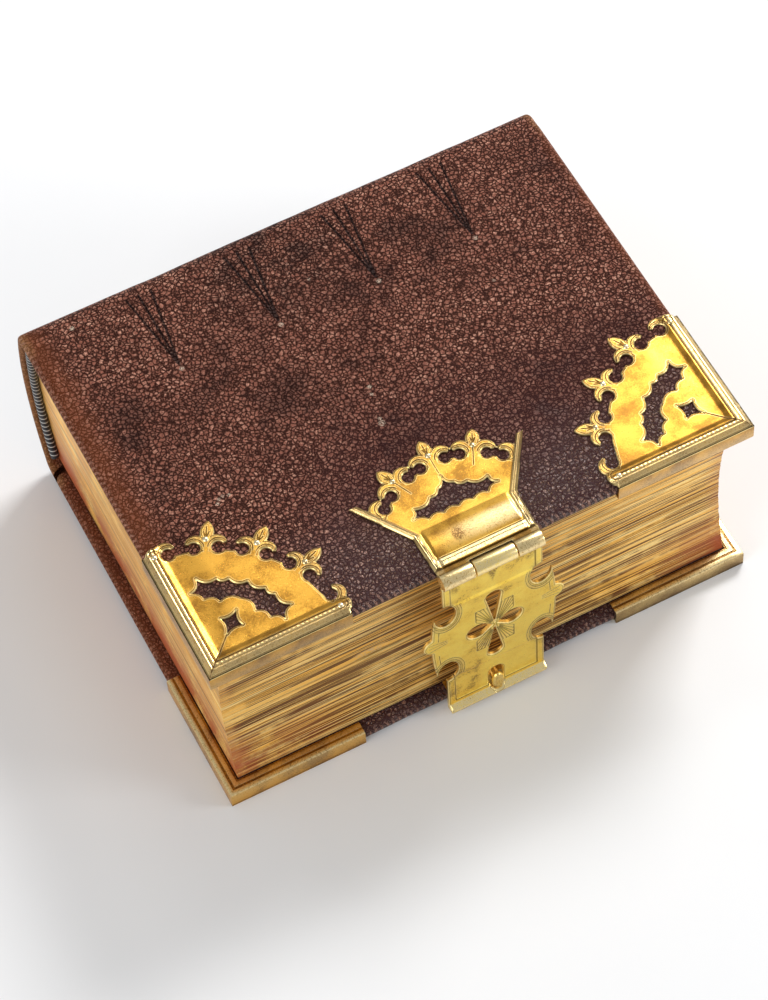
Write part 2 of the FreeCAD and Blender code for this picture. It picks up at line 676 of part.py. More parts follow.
def make_crown():
    """The crown plate on the front cover, drawn from the fore-edge and bridged to the barrel."""
    depth = size("crown_thickness")
    centre = (0, size("crown_fret_centre"))
    radius = size("crown_fret_radius")
    web = radius - size("eye_radius")
    end = size("crown_end_angle")
    added, removed = fret_border(centre, radius, size("crown_fleur_reach"), crown_fleurs(),
                                 size("crown_scroll_angle"), (90 + end, 90 - end), depth)
    base, neck, span = size("crown_base"), size("crown_neck"), size("crown_arm_span")
    neck_up, tip_up = size("crown_neck_reach"), size("crown_arm_reach")
    bridge = -place("arm_middle")
    fan = plate([(-base, bridge), (base, bridge), (neck, neck_up), (span, tip_up), (0, tip_up + radius),
                 (-span, tip_up), (-neck, neck_up)], depth)
    round_head = disc(*centre, web, depth)
    foot = plate([(-base, bridge), (base, bridge), (neck, neck_up), (-neck, neck_up)], depth)
    sheet = round_head.common(fan).multiFuse([foot] + [piece.common(fan) for piece in added])
    eye = CROWN_EYE + [(0, CROWN_EYE_TOP)] + [(-across, up) for across, up in reversed(CROWN_EYE)]
    eye += CROWN_EYE_SCALLOPS + [(0, CROWN_EYE_FOOT)]
    eye += [(-across, up) for across, up in reversed(CROWN_EYE_SCALLOPS)]
    removed.append(scalloped(eye, -size("crown_eye_bow"), depth))
    sheet = sheet.cut(removed)
    border = size("crown_rail")
    crest = depth + size("crown_rail_rise")
    rails = []
    for side in (-1, 1):
        run = [(side * base, bridge / 2), (side * neck, neck_up), (side * span, tip_up),
               (side * (span - border), tip_up), (side * (neck - border), neck_up),
               (side * (base - border), bridge / 2)]
        rails.append(plate(run, crest))
    ridge = plate([(-base, -size("crown_rail_rise")), (base, -size("crown_rail_rise")), (base, border),
                   (-base, border)], crest)
    sheet = sheet.multiFuse(rails + [ridge])
    sheet.translate(Vector(0, place("fore_edge"), size("book_thickness")))
    barrel_radius = size("barrel_diameter") / 2
    start = Vector(-base, place("barrel_place"), place("hinge_height"))
    barrel = Part.makeCylinder(barrel_radius, 2 * base, start, Vector(1, 0, 0))
    middle = 2 * base - size("knuckle_left") - size("knuckle_right")
    room = barrel_radius + size("knuckle_gap")
    gap_start = Vector(-base + size("knuckle_left"), start.y, start.z)
    gap = Part.makeCylinder(room, middle, gap_start, Vector(1, 0, 0))
    behind = Part.makeBox(middle, room, 2 * room, Vector(gap_start.x, start.y - room, start.z - room))
    bore = Part.makeCylinder(size("hinge_pin_radius"), 2 * base, start, Vector(1, 0, 0))
    return sheet.fuse(barrel).cut([gap, behind, bore]).removeSplitter()


def make_arm():
    """The hanging arm: drawn upright from the table, then stood in front of the fore-edge."""
    depth = size("arm_thickness")
    half = size("arm_half_width")
    foot, top, middle = size("arm_foot"), place("arm_top"), size("lobe_centre")
    strip = plate([(-half, foot), (half, foot), (half, top), (-half, top)], depth)
    rise, span = size("lobe_half_rise"), size("lobe_half_span")
    rim = Part.Ellipse(Vector(0, span, 0), Vector(rise, 0, 0), Vector())
    if rise < span:
        rim = Part.Ellipse(Vector(span, 0, 0), Vector(0, rise, 0), Vector())
    rim.Center = Vector(0, middle, 0)
    lobes = Part.Face(Part.Wire(rim.toShape())).extrude(Vector(0, 0, depth))
    tip = size("leaf_half_span")
    leaf_rise = size("leaf_half_rise")
    leaves = plate([(-tip, middle), (0, middle - leaf_rise * tip / (tip - half)), (tip, middle),
                    (0, middle + leaf_rise * tip / (tip - half))], depth)
    outline = strip.multiFuse([lobes, leaves])
    notch_across, notch_up = size("notch_span"), size("notch_rise")
    openings = [disc(side * notch_across, middle + level * notch_up, size("notch_radius"), depth)
                for side in (-1, 1) for level in (-1, 1)]
    root = size("petal_root")
    for angle, tip_name in ((90, "petal_rise"), (270, "petal_rise"), (0, "petal_span"), (180, "petal_span")):
        start = polar((0, middle), root, angle)
        openings.append(teardrop(*start, angle, size(tip_name) - root, size(tip_name + "_radius"), depth))
    narrow = size("slot_half_width")
    slot_low, slot_high = size("slot_foot"), size("slot_top") - narrow
    openings.append(plate([(-narrow, slot_low), (narrow, slot_low), (narrow, slot_high),
                           (-narrow, slot_high)], depth))
    openings.append(disc(0, slot_high, narrow, depth))
    sheet = outline.cut(openings)
    lip = plate([(-half, foot), (half, foot), (half, foot + size("lip_height")),
                 (-half, foot + size("lip_height"))], depth + size("lip_reach"))
    lip = lip.makeChamfer(size("lip_chamfer"), [edge for edge in lip.Edges
                                                if abs(edge.BoundBox.ZMin - lip.BoundBox.ZMax) < 1e-6])
    sheet = sheet.fuse(lip)
    sheet.rotate(Vector(), Vector(1, 0, 0), 90)
    sheet.translate(Vector(0, place("fore_edge") - size("arm_gap"), 0))
    barrel_radius = size("barrel_diameter") / 2
    left = -size("crown_base") + size("knuckle_left") + size("knuckle_gap")
    right = size("crown_base") - size("knuckle_right") - size("knuckle_gap")
    start = Vector(left, place("barrel_place"), place("hinge_height"))
    knuckle = Part.makeCylinder(barrel_radius, right - left, start, Vector(1, 0, 0))
    strap = Part.makeBox(right - left, depth, place("hinge_height") - top,
                         Vector(left, start.y - depth / 2, top))
    bore_radius = size("hinge_pin_radius") + size("pin_clearance")
    bore = Part.makeCylinder(bore_radius, right - left, start, Vector(1, 0, 0))
    return sheet.multiFuse([knuckle, strap]).cut(bore).removeSplitter()


def make_catch():
    """The bent plate on the back cover that carries the stud, and the pins that hold it."""
    wall = size("catch_thickness")
    front = place("fore_edge")
    half = size("catch_half_width")
    cover = place("cover_thickness")
    upright = Part.makeBox(2 * half, wall, cover + wall, Vector(-half, front - wall, 0))
    under = Part.makeBox(2 * half, size("catch_leg"), wall, Vector(-half, front, 0))
    shelf = Part.makeBox(2 * half, size("corner_lip") + wall, wall, Vector(-half, front - wall, cover))
    bent = upright.multiFuse([under, shelf])
    spots = [(side * (half - size("catch_pin_inset")), front + size("catch_pin_reach")) for side in (-1, 1)]
    shanks = [Part.makeCylinder(size("pin_radius"), size("pin_depth"), Vector(across, up, 0))
              for across, up in spots]
    neck_start = Vector(0, front - wall, size("stud_height"))
    return bent, shanks, neck_start


def make_stud(neck_start):
    """The stud that stands through the arm's slot, with an oval head."""
    wall = size("catch_thickness")
    reach = place("stud_front") - wall
    neck = Part.makeCylinder(size("stud_radius"), reach - size("stud_reach"), neck_start, Vector(0, -1, 0))
    rim = Part.Ellipse(Vector(0, size("stud_head_rise"), 0), Vector(size("stud_head_radius"), 0, 0), Vector())
    head = Part.Face(Part.Wire(rim.toShape())).extrude(Vector(0, 0, size("stud_reach")))
    head.rotate(Vector(), Vector(1, 0, 0), 90)
    head.translate(Vector(0, neck_start.y - reach + size("stud_reach"), neck_start.z))
    head = head.makeChamfer(size("stud_chamfer"), [edge for edge in head.Edges
                                                   if abs(edge.BoundBox.YMax - head.BoundBox.YMin) < 1e-6])
    return neck.fuse(head)


pieces = []

# Everything that the page block carries
pieces.append(make_block())
pieces.append(make_flyleaf("front_flyleaf", "places.middle_height + places.block_half"))
pieces.append(make_flyleaf("back_flyleaf", "places.middle_height - places.leaf_half"))
pieces.append(make_lining())
sewing_bands = make_bands()
pieces.extend(sewing_bands)
pieces.append(make_spine(sewing_bands))
pieces.append(make_end_band("head_band", 1))
pieces.append(make_end_band("tail_band", -1))
doc.recompute()

# The brass of the front cover
front_rise = size("brass_thickness")
front_corner = corner_plate(front_rise)
front_pins = corner_pins(front_rise, size("pin_depth"))
sides = (("left", -1), ("right", 1))
front_pin_solids = [at_corner(pin, side, True) for _, side in sides for pin in front_pins]
crown_pins = []
for spot_across, spot_up in crown_pin_spots():
    base_point = Vector(spot_across, place("fore_edge") + spot_up, size("book_thickness"))
    shank = Part.makeCylinder(size("pin_radius"), size("pin_depth") + size("crown_thickness"),
                              base_point - Vector(0, 0, size("pin_depth")))
    head = Part.makeCone(size("pin_head"), size("pin_radius"), size("pin_head_rise"),
                         base_point + Vector(0, 0, size("crown_thickness")))
    crown_pins.append(shank.fuse(head))
front_corner_pins = shaped("front_corner_pins", compound(front_pin_solids))
clasp_crown_pins = shaped("clasp_crown_pins", compound(crown_pins))
for label, side in sides:
    solid = at_corner(front_corner, side, True).cut(front_pin_solids)
    pieces.append(shaped(f"front_{label}_corner", solid))
pieces.append(front_corner_pins)
pieces.append(shaped("clasp_crown", make_crown().cut(crown_pins)))
pieces.append(clasp_crown_pins)
pieces.append(rod("clasp_hinge_pin", "sizes.hinge_pin_radius", "2 * sizes.crown_base",
                  ("-sizes.crown_base", "places.barrel_place", "places.hinge_height"), ALONG_X))
grooves = shaped("tooled_lines", tooled_lines())
pin_tools = shaped("front_pin_holes", compound(front_pin_solids + crown_pins))

# The brass of the back cover lies flush with its leather, so that the book rests flat
back_corner = corner_plate(0)
back_pins = corner_pins(0, size("pin_depth"))
back_pin_solids = [at_corner(pin, side, False) for _, side in sides for pin in back_pins]
back_corners = []
for label, side in sides:
    solid = at_corner(back_corner, side, False).cut(back_pin_solids)
    back_corners.append(shaped(f"back_{label}_corner", solid))
catch, catch_shanks, stud_start = make_catch()
catch_plate = shaped("catch_plate", catch.cut(catch_shanks))
back_corner_pins = shaped("back_corner_pins", compound(back_pin_solids))
catch_pins = shaped("catch_pins", compound(catch_shanks))
pieces.extend(back_corners + [back_corner_pins, catch_plate, catch_pins])
pieces.append(shaped("catch_stud", make_stud(stud_start)))
pieces.append(shaped("clasp_arm", make_arm()))
pin_tools_back = shaped("back_pin_holes", compound(back_pin_solids + catch_shanks))

# The covers, cut for what is let into them
for cover_side, openings in (("front", [grooves, pin_tools]),
                             ("back", back_corners + [catch_plate, pin_tools_back])):
    core_body, leather, pastedown = make_cover(cover_side, openings)
    pieces.extend([cut(f"{cover_side}_board", core_body, [openings[-1]]), leather, pastedown])

doc.recompute()

for item in doc.Objects:
    if any(word in item.State for word in ("Invalid", "Error")):
        raise RuntimeError(f"{item.Name} failed: {item.State}")
for piece in pieces:
    if piece.Shape.isNull() or not piece.Shape.isValid():
        raise RuntimeError(f"{piece.Name} has no valid shape")

os.makedirs("parts", exist_ok=True)
for piece in pieces:
    piece.Shape.exportStep(f"parts/{piece.Label}.step")
print(len(pieces), "pieces written")
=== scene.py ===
"""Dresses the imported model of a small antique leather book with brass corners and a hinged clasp.

X runs along the spine, the fore-edge faces -Y, the spine faces +Y and the front cover faces +Z.
Shapes are worked out in millimetres and written to Blender in metres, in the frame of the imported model.
"""

import json
import logging
import math
from dataclasses import dataclass, field
from enum import Enum
from typing import Callable

import bmesh
import bpy
import numpy as np
from mathutils import Matrix, Vector, noise


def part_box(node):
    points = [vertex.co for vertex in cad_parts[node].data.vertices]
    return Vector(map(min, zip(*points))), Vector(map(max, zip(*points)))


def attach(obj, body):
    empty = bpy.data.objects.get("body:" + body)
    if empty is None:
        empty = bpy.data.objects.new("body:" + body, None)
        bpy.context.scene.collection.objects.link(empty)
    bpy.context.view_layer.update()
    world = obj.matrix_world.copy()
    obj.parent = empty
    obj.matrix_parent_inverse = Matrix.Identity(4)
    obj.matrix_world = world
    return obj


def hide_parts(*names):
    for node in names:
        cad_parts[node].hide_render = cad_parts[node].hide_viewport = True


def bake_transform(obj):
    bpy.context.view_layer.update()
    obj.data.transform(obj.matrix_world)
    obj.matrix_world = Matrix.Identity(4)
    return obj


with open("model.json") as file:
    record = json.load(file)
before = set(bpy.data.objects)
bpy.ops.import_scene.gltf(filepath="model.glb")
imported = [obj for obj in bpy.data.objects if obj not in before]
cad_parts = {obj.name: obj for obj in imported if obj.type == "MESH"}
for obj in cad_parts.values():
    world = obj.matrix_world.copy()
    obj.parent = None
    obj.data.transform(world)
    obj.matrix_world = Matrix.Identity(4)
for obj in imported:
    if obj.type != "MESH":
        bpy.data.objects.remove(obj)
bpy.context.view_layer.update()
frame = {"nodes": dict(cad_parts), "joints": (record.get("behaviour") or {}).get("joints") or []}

MM = 0.001
SHARP = 38.0  # edges of sheet brass that turn by more degrees stay sharp
FAR = 9.0  # beyond the reach of an engraved line, in mm
NOWHERE = 1e9
Colour = tuple[float, float, float]
Point = tuple[float, float]
Array = np.ndarray
Socket = bpy.types.NodeSocket
Entry = Socket | float | tuple
log = logging.getLogger("antique_book")


class Side(Enum):
    """The two boards, with the name of the body that each rides on."""

    FRONT = "front_cover"
    BACK = "back_cover"


class Hand(Enum):
    """The two fore-edge corners of a board, seen from the fore-edge."""

    LEFT = -1
    RIGHT = 1


def node_box(name: str) -> tuple[Array, Array]:
    """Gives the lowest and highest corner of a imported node.

    Args:
        name: The node's name.

    Returns:
        Two corners in mm.
    """
    low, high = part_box(name)
    return np.array(low) / MM, np.array(high) / MM


def ease(value: Array, start: float, end: float) -> Array:
    """Rises smoothly from 0 at start to 1 at end.

    Args:
        value: Where to look.
        start: Where the rise starts.
        end: Where the rise ends, which may be below the start.

    Returns:
        Shares from 0 to 1.
    """
    share = np.clip((value - start) / (end - start), 0, 1)
    return share * share * (3 - 2 * share)


@dataclass(frozen=True)
class BookSizes:
    """Places of the closed book in mm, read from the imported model."""

    cover_low: Array = field(default_factory=lambda: node_box("front_leather")[0])
    cover_high: Array = field(default_factory=lambda: node_box("front_leather")[1])
    block_low: Array = field(default_factory=lambda: node_box("text_block")[0])
    block_high: Array = field(default_factory=lambda: node_box("text_block")[1])
    spine_high: Array = field(default_factory=lambda: node_box("spine_leather")[1])
    lining_high: Array = field(default_factory=lambda: node_box("spine_lining")[1])
    bands: tuple = field(default_factory=lambda: tuple(
        float(sum(corner[0] for corner in node_box(f"sewing_band_{n}"))) / 2 for n in (1, 2, 3, 4)))
    hinge: Array = field(default_factory=lambda: np.array(next(
        j["pos_m"] for j in frame["joints"] if j["name"] == "front_cover_hinge")) / MM)

    @property
    def half_length(self) -> float:
        """Half of the boards' length."""
        return float(self.cover_high[0])

    @property
    def fore_edge(self) -> float:
        """Where the boards end at the front."""
        return float(self.cover_low[1])

    @property
    def thickness(self) -> float:
        """The closed book from face to face."""
        return float(self.cover_high[2])

    @property
    def board(self) -> float:
        """One covered board's thickness."""
        return float(self.cover_high[2] - self.cover_low[2])


BOOK = BookSizes()


def make_piece(name: str, points: Array, faces: list, marks: dict | None = None,
               crease: float = 180.0) -> bpy.types.Object:
    """Makes a mesh object from points in mm.

    Args:
        name: The piece's name.
        points: The vertices in mm.
        faces: The faces as lists of vertex numbers.
        marks: Numbers to keep on the vertices for the finish, by name.
        crease: Edges that turn by more degrees than this stay sharp.

    Returns:
        The new object, linked to the scene.
    """
    mesh = bpy.data.meshes.new(name)
    mesh.from_pydata((np.asarray(points) * MM).tolist(), [], faces)
    for label, numbers in (marks or {}).items():
        numbers = np.asarray(numbers, np.float32)
        kind, slot = ("FLOAT_VECTOR", "vector") if numbers.ndim == 2 else ("FLOAT", "value")
        mesh.attributes.new(label, kind, "POINT").data.foreach_set(slot, numbers.ravel())
    mesh.validate()
    mesh.shade_smooth()
    if crease < 180:
        mesh.set_sharp_from_angle(angle=math.radians(crease))
    piece = bpy.data.objects.new(name, mesh)
    bpy.context.scene.collection.objects.link(piece)
    return piece


def weld(piece: bpy.types.Object, reach: float = 0.002) -> None:
    """Merges the vertices of a piece that lie within a reach in mm."""
    work = bmesh.new()
    work.from_mesh(piece.data)
    bmesh.ops.remove_doubles(work, verts=work.verts, dist=reach * MM)
    bmesh.ops.dissolve_degenerate(work, dist=reach * MM / 2, edges=work.edges)
    work.to_mesh(piece.data)
    work.free()


def grid_faces(rows: int, columns: int, wrap: bool = False, start: int = 0, flip: bool = False) -> list:
    """Numbers the quads of a grid of vertices.

    Args:
        rows: Rows of vertices.
        columns: Vertices in a row.
        wrap: Joins the last column to the first.
        start: The number of the first vertex.
        flip: Turns the faces over.

    Returns:
        The quads.
    """
    number = np.arange(rows * columns).reshape(rows, columns) + start
    after = np.roll(number, -1, axis=1) if wrap else number[:, 1:]
    before = number if wrap else number[:, :-1]
    quads = np.stack([before[:-1], after[:-1], after[1:], before[1:]], axis=-1).reshape(-1, 4)
    return (quads[:, ::-1] if flip else quads).tolist()


# Finishes

class Bench:
    """Lays out the nodes of one material."""

    def __init__(self, name: str) -> None:
        """Starts a material with its shader."""
        self.material = bpy.data.materials.new(name)
        self.material.use_nodes = True
        self.tree = self.material.node_tree
        self.shader = self.tree.nodes["Principled BSDF"]

    def add(self, kind: str, sockets: dict, output: int | str = 0, **settings: object) -> Socket:
        """Adds a node.

        Args:
            kind: The node's type, without its first word.
            sockets: What goes into its inputs, by name or number: a value or another node's output.
            output: Which output is wanted.
            **settings: The node's own options.

        Returns:
            The wanted output.
        """
        node = self.tree.nodes.new("ShaderNode" + kind)
        for key, setting in settings.items():
            setattr(node, key, setting)
        for key, entry in sockets.items():
            self.feed(node.inputs[key], entry)
        return node.outputs[output]

    def feed(self, socket: Socket, entry: Entry) -> None:
        """Links or sets one input."""
        if isinstance(entry, Socket):
            self.tree.links.new(entry, socket)
        elif isinstance(entry, tuple) and len(entry) == 3 and socket.type == "RGBA":
            socket.default_value = (*entry, 1.0)
        else:
            socket.default_value = entry

    def finish(self, **sockets: Entry) -> bpy.types.Material:
        """Feeds the shader's inputs, their names written with underscores, and gives the material."""
        for key, entry in sockets.items():
            self.feed(self.shader.inputs[key.replace("_", " ")], entry)
        return self.material

    def number(self, name: str) -> Socket:
        """A number kept on the mesh."""
        return self.add("Attribute", {}, "Fac", attribute_name=name)

    def place(self, rest: bool = False) -> Socket:
        """The place on the piece in mm, or the rest place kept on the mesh."""
        if rest:
            return self.add("Attribute", {}, "Vector", attribute_name="rest")
        here = self.add("TexCoord", {}, "Object")
        return self.add("VectorMath", {0: here, 1: (1 / MM,) * 3}, operation="MULTIPLY")

    def parts(self, vector: Socket) -> tuple:
        """The three parts of a vector."""
        return tuple(self.add("SeparateXYZ", {0: vector}).node.outputs)

    def sum(self, kind: str, first: Entry, second: Entry = 0.0) -> Socket:
        """One step of arithmetic."""
        return self.add("Math", {0: first, 1: second}, operation=kind)

    def plus(self, first: Entry, second: Entry, share: float) -> Socket:
        """One value plus a share of another."""
        return self.sum("ADD", first, self.sum("MULTIPLY", second, share))

    def noise(self, vector: Socket, scale: float, detail: float = 3.0, rough: float = 0.55,
              output: str = "Fac") -> Socket:
        """Cloudy noise, its scale in waves a mm."""
        return self.add("TexNoise", {"Vector": vector, "Scale": scale, "Detail": detail,
                                     "Roughness": rough}, output)

    def stretched(self, vector: Socket, factors: tuple) -> Socket:
        """A place scaled along its three axes."""
        return self.add("VectorMath", {0: vector, 1: factors}, operation="MULTIPLY")

    def band(self, value: Entry, low: float, high: float) -> Socket:
        """A smooth rise from low to high, or a fall where low is above high."""
        return self.add("MapRange", {"Value": value, "From Min": low, "From Max": high},
                        interpolation_type="SMOOTHSTEP")

    def mix(self, share: Entry, first: Entry, second: Entry) -> Socket:
        """Mixes two colours."""
        return self.add("Mix", {0: share, 6: first, 7: second}, 2, data_type="RGBA")

    def both(self, *shares: Entry) -> Socket:
        """The product of several shares."""
        result = shares[0]
        for share in shares[1:]:
            result = self.sum("MULTIPLY", result, share)
        return result

    def spot(self, vector: Socket, centre: tuple, radius: float, soft: float) -> Socket:
        """1 inside a ball, falling to 0 outside it."""
        gap = self.add("VectorMath", {0: vector, 1: centre}, "Value", operation="DISTANCE")
        return self.band(gap, radius + soft, radius)

    def bump(self, height: Entry, depth: float, strength: float = 1.0,
             under: Socket | None = None) -> Socket:
        """A relief of that depth in mm, on top of another one."""
        sockets = {"Height": height, "Distance": depth * MM, "Strength": strength}
        if under is not None:
            sockets["Normal"] = under
        return self.add("Bump", sockets)


@dataclass(frozen=True)
class Morocco:
    """Pebbled goatskin, dark brown, worn reddish at the edges and glossy towards the fore-edge."""

    name: str = "morocco"
    crease: Colour = (0.007, 0.0022, 0.002)
    hide: Colour = (0.36, 0.118, 0.070)
    light: Colour = (0.84, 0.44, 0.30)
    rust: Colour = (0.270, 0.068, 0.018)
    gold: Colour = (0.480, 0.240, 0.085)
    plum: Colour = (0.045, 0.013, 0.014)
    pale: Colour = (0.72, 0.56, 0.42)
    pebble: float = 0.90
    relief: float = 0.42
    scuffs: tuple = ((-3.1, -1.9, 0.3), (-3.6, -4.2, 0.2), (-5.4, -13.3, 0.6), (-5.2, -11.8, 0.2),
                     (-52.1, -14.9, 0.2), (-51.2, -13.9, 0.2), (-49.9, -13.4, 0.2), (-48.5, -13.8, 0.2),
                     (-1.5, 35.5, 0.1), (40.1, 12.0, 0.1), (-61.8, 51.4, 0.4))
    tool_length: float = 26.0
    band_step: float = 28.2
    fan: float = 3.6
    line: float = 0.46

    def tooled(self, b: Bench, x: Socket, y: Socket) -> Socket:
        """Draws the three thin lines that close to a point beside each band.

        Args:
            b: The bench of the material.
            x: The place along the back.
            y: The place across the cover.

        Returns:
            The share of the dark line.
        """
        start, tip = float(BOOK.cover_high[1]), float(BOOK.hinge[1]) - self.tool_length
        half = self.band_step / 2
        off = b.add("Math", {0: b.sum("ADD", x, half), 1: half, 2: -half}, operation="WRAP")
        off = b.sum("ABSOLUTE", off)
        along = b.add("MapRange", {"Value": y, "From Min": tip, "From Max": start})
        outer = b.sum("ABSOLUTE", b.sum("SUBTRACT", off, b.sum("MULTIPLY", along, self.fan)))
        gap = b.sum("MINIMUM", off, outer)
        inside = b.both(b.band(y, tip - 0.3, tip + 0.6), b.band(y, start + 0.2, start - 0.6),
                        b.band(b.sum("ABSOLUTE", x), 50.0, 49.0))
        return b.both(b.band(gap, self.line, 0.4 * self.line), inside)

    def scuffed(self, b: Bench, rest: Socket) -> Socket:
        """Places the small pale scuffs on the front and the light tips of the tooled lines.

        Args:
            b: The bench of the material.
            rest: The place on the closed book.

        Returns:
            The share of bared leather.
        """
        top, tip = float(BOOK.thickness), float(BOOK.hinge[1]) - self.tool_length - 1.2
        marks = [(x, y, top, size) for x, y, size in self.scuffs]
        marks += [(band, tip, top, 0.40) for band in BOOK.bands]
        share = 0.0
        for x, y, z, size in marks:
            share = b.sum("MAXIMUM", share, b.spot(rest, (x, y, z), size, 0.5))
        return share

    def material(self) -> bpy.types.Material:
        """Builds the material.

        Returns:
            The finished leather.
        """
        b = Bench(self.name)
        rest = b.place(rest=True)
        x, y, z = b.parts(rest)
        width = b.sum("ABSOLUTE", x)
        sway = b.noise(rest, 0.9, 2.0, output="Color")
        bent = b.add("VectorMath", {0: rest, 1: sway}, operation="ADD")
        edge = b.add("TexVoronoi", {"Vector": bent, "Scale": self.pebble}, "Distance",
                     feature="DISTANCE_TO_EDGE")
        small = b.add("TexVoronoi", {"Vector": rest, "Scale": 2.6 * self.pebble}, "Distance",
                      feature="DISTANCE_TO_EDGE")
        fine = b.noise(rest, 3.2, 3.0)
        cloud = b.noise(rest, 0.04, 5.0, 0.62)
        patch = b.noise(rest, 0.17, 5.0, 0.65)
        pebbles = b.band(b.plus(edge, b.sum("SUBTRACT", fine, 0.5), 0.20), 0.02, 0.24)
        grains = b.band(b.plus(small, b.sum("SUBTRACT", fine, 0.5), 0.2), 0.0, 0.14)
        grain = b.both(b.plus(0.08, pebbles, 0.92), b.plus(0.40, grains, 0.60))
        tone = b.mix(grain, self.crease, self.hide)
        worn = b.band(b.plus(cloud, patch, 0.5), 0.60, 0.88)
        # The crests of the pebbles, lightened: partly rubbed wear, partly painted highlight.
        crest_wear_and_highlight = b.both(b.band(grain, 0.60, 1.0), b.band(b.noise(rest, 0.62, 3.0), 0.44, 0.62))
        tone = b.mix(b.both(crest_wear_and_highlight, b.plus(0.16, worn, 0.64)), tone, self.light)
        mottle = b.band(b.plus(cloud, patch, 0.4), 0.68, 0.52)
        tone = b.mix(b.both(mottle, 0.50), tone, self.crease)
        fore = b.plus(y, patch, 14.0)
        tone = b.mix(b.both(b.band(fore, 12.0, -22.0), b.band(x, -52.0, -10.0), 0.46), tone, self.plum)
        shine = b.both(b.band(fore, -16.0, -44.0), b.band(z, 40.0, 62.0))
        tone = b.mix(b.both(shine, b.plus(1.0, crest_wear_and_highlight, -0.6), 0.66), tone, self.plum)
        shade = b.spot(rest, (-8.0, 47.0, 66.0), 7.0, 22.0)
        tone = b.mix(b.both(shade, b.band(patch, 0.35, 0.65), 0.7), tone, self.crease)
        left = b.band(b.plus(x, patch, 9.0), -60.0, -69.0)
        side = b.band(b.plus(width, patch, 4.0), 73.0, 77.5)
        rubbed = b.both(b.sum("MAXIMUM", left, side), b.plus(0.35, grain, 0.6))
        tone = b.mix(b.both(rubbed, 0.75), tone, self.rust)
        cap = b.both(b.band(b.plus(width, patch, 5.0), 74.2, 77.5), b.band(y, 46.0, 52.0))
        tone = b.mix(b.both(cap, b.plus(0.25, grain, 0.6), 0.85), tone, self.gold)
        arris = b.both(b.band(width, 73.7, 74.5), b.band(z, 61.0, 64.0))
        front = b.both(b.band(y, -57.2, -58.3), b.band(z, 61.5, 64.0))
        dashes = b.band(b.sum("SINE", b.sum("MULTIPLY", b.sum("ADD", x, y), 3.6)), 0.1, 0.6)
        ornament = b.both(b.sum("MAXIMUM", arris, front), dashes, b.band(fine, 0.35, 0.6))
        tone = b.mix(b.both(ornament, 0.45), tone, self.light)
        lines = self.tooled(b, x, y)
        tone = b.mix(b.both(lines, b.band(z, 64.0, 65.0), 0.88), tone, self.crease)
        tone = b.mix(b.both(self.scuffed(b, rest), b.band(fine, 0.44, 0.54), 0.9), tone, self.pale)
        rough = b.plus(b.plus(0.54, shine, -0.30), b.sum("SUBTRACT", patch, 0.5), 0.3)
        level = b.both(b.plus(0.04, grain, 0.46), b.plus(0.60, shine, 1.6))
        relief = b.bump(fine, 0.05, 0.6)
        relief = b.bump(grain, self.relief, 1.0, relief)
        relief = b.bump(b.sum("SUBTRACT", 1.0, lines), 0.25, 0.8, relief)
        return b.finish(Base_Color=tone, Roughness=rough, Normal=relief, Specular_IOR_Level=level)


@dataclass(frozen=True)
class AgedBrass:
    """Stamped brass, with painted highlight on its rims and darker in its engraved lines.

    Its drawn meshes keep four numbers: edge, the way in from the cut edge, cut, the way to an engraved
    line, stain, the share of brown, and the last, the share of painted highlight.
    """

    name: str = "aged_brass"
    metal: Colour = (0.70, 0.395, 0.066)
    deep: Colour = (0.50, 0.245, 0.030)
    # The colour of the painted highlight on the rims and beside the engraved lines.
    rim: Colour = (0.95, 0.76, 0.34)
    brown: Colour = (0.16, 0.075, 0.025)
    shadow: Colour = (0.055, 0.03, 0.012)
    # The colour of the painted highlight that the mesh marks.
    pale: Colour = (1.0, 0.80, 0.42)
    tarnish: float = 0.22
    rough: float = 0.30
    drawn: bool = True

    def material(self) -> bpy.types.Material:
        """Builds the material.

        Returns:
            The finished brass.
        """
        b = Bench(self.name)
        here = b.place()
        cloud = b.noise(here, 0.14, 5.0, 0.6)
        speck = b.noise(here, 2.2, 4.0, 0.7)
        hair = b.noise(b.stretched(here, (0.5, 5.0, 5.0)), 1.6, 2.0, 0.6)
        mottle = b.sum("ADD", b.both(cloud, 0.7), b.both(speck, 0.3))
        tone = b.mix(b.band(mottle, 0.40, 0.62), self.metal, self.deep)
        aged = b.both(b.band(b.plus(cloud, speck, 0.5), 0.88 - self.tarnish, 1.0), 0.65)
        tone = b.mix(aged, tone, self.brown)
        rough = b.plus(self.rough, b.sum("SUBTRACT", speck, 0.45), 0.35)
        relief = b.bump(speck, 0.035, 0.45)
        relief = b.bump(hair, 0.015, 0.4, relief)
        if self.drawn:
            edge, cut = b.number("edge"), b.number("cut")
            # Painted highlight along the cut rims and beside the engraved lines, and painted shade in a
            # thin line inside each rim.
            second = b.both(b.band(edge, 0.50, 0.60), b.band(edge, 0.78, 0.68), 0.55)
            bright = b.sum("MAXIMUM", b.band(edge, 0.34, 0.22), second)
            line = b.both(b.band(edge, 0.28, 0.38), b.band(edge, 0.56, 0.46))
            groove = b.sum("MAXIMUM", b.both(line, 0.60), b.band(cut, 0.21, 0.07))
            groove_highlight = b.both(b.band(cut, 0.18, 0.26), b.band(cut, 0.42, 0.30), 0.45)
            # Painted highlight in the pale colour where the mesh marks it: rails, crown neck, arm lip,
            # channel walls and barrel.
            tone = b.mix(b.both(b.number("bright"), b.band(speck, 0.75, 0.45), 0.90), tone, self.pale)
            tone = b.mix(b.sum("MAXIMUM", b.both(bright, 0.80), groove_highlight), tone, self.rim)
            tone = b.mix(b.both(groove, 0.78), tone, self.shadow)
            tone = b.mix(b.both(b.number("stain"), b.band(speck, 0.3, 0.6)), tone, self.brown)
            relief = b.bump(b.sum("SUBTRACT", 1.0, groove), 0.12, 0.9, relief)
        return b.finish(Base_Color=tone, Roughness=rough, Normal=relief, Metallic=1.0)


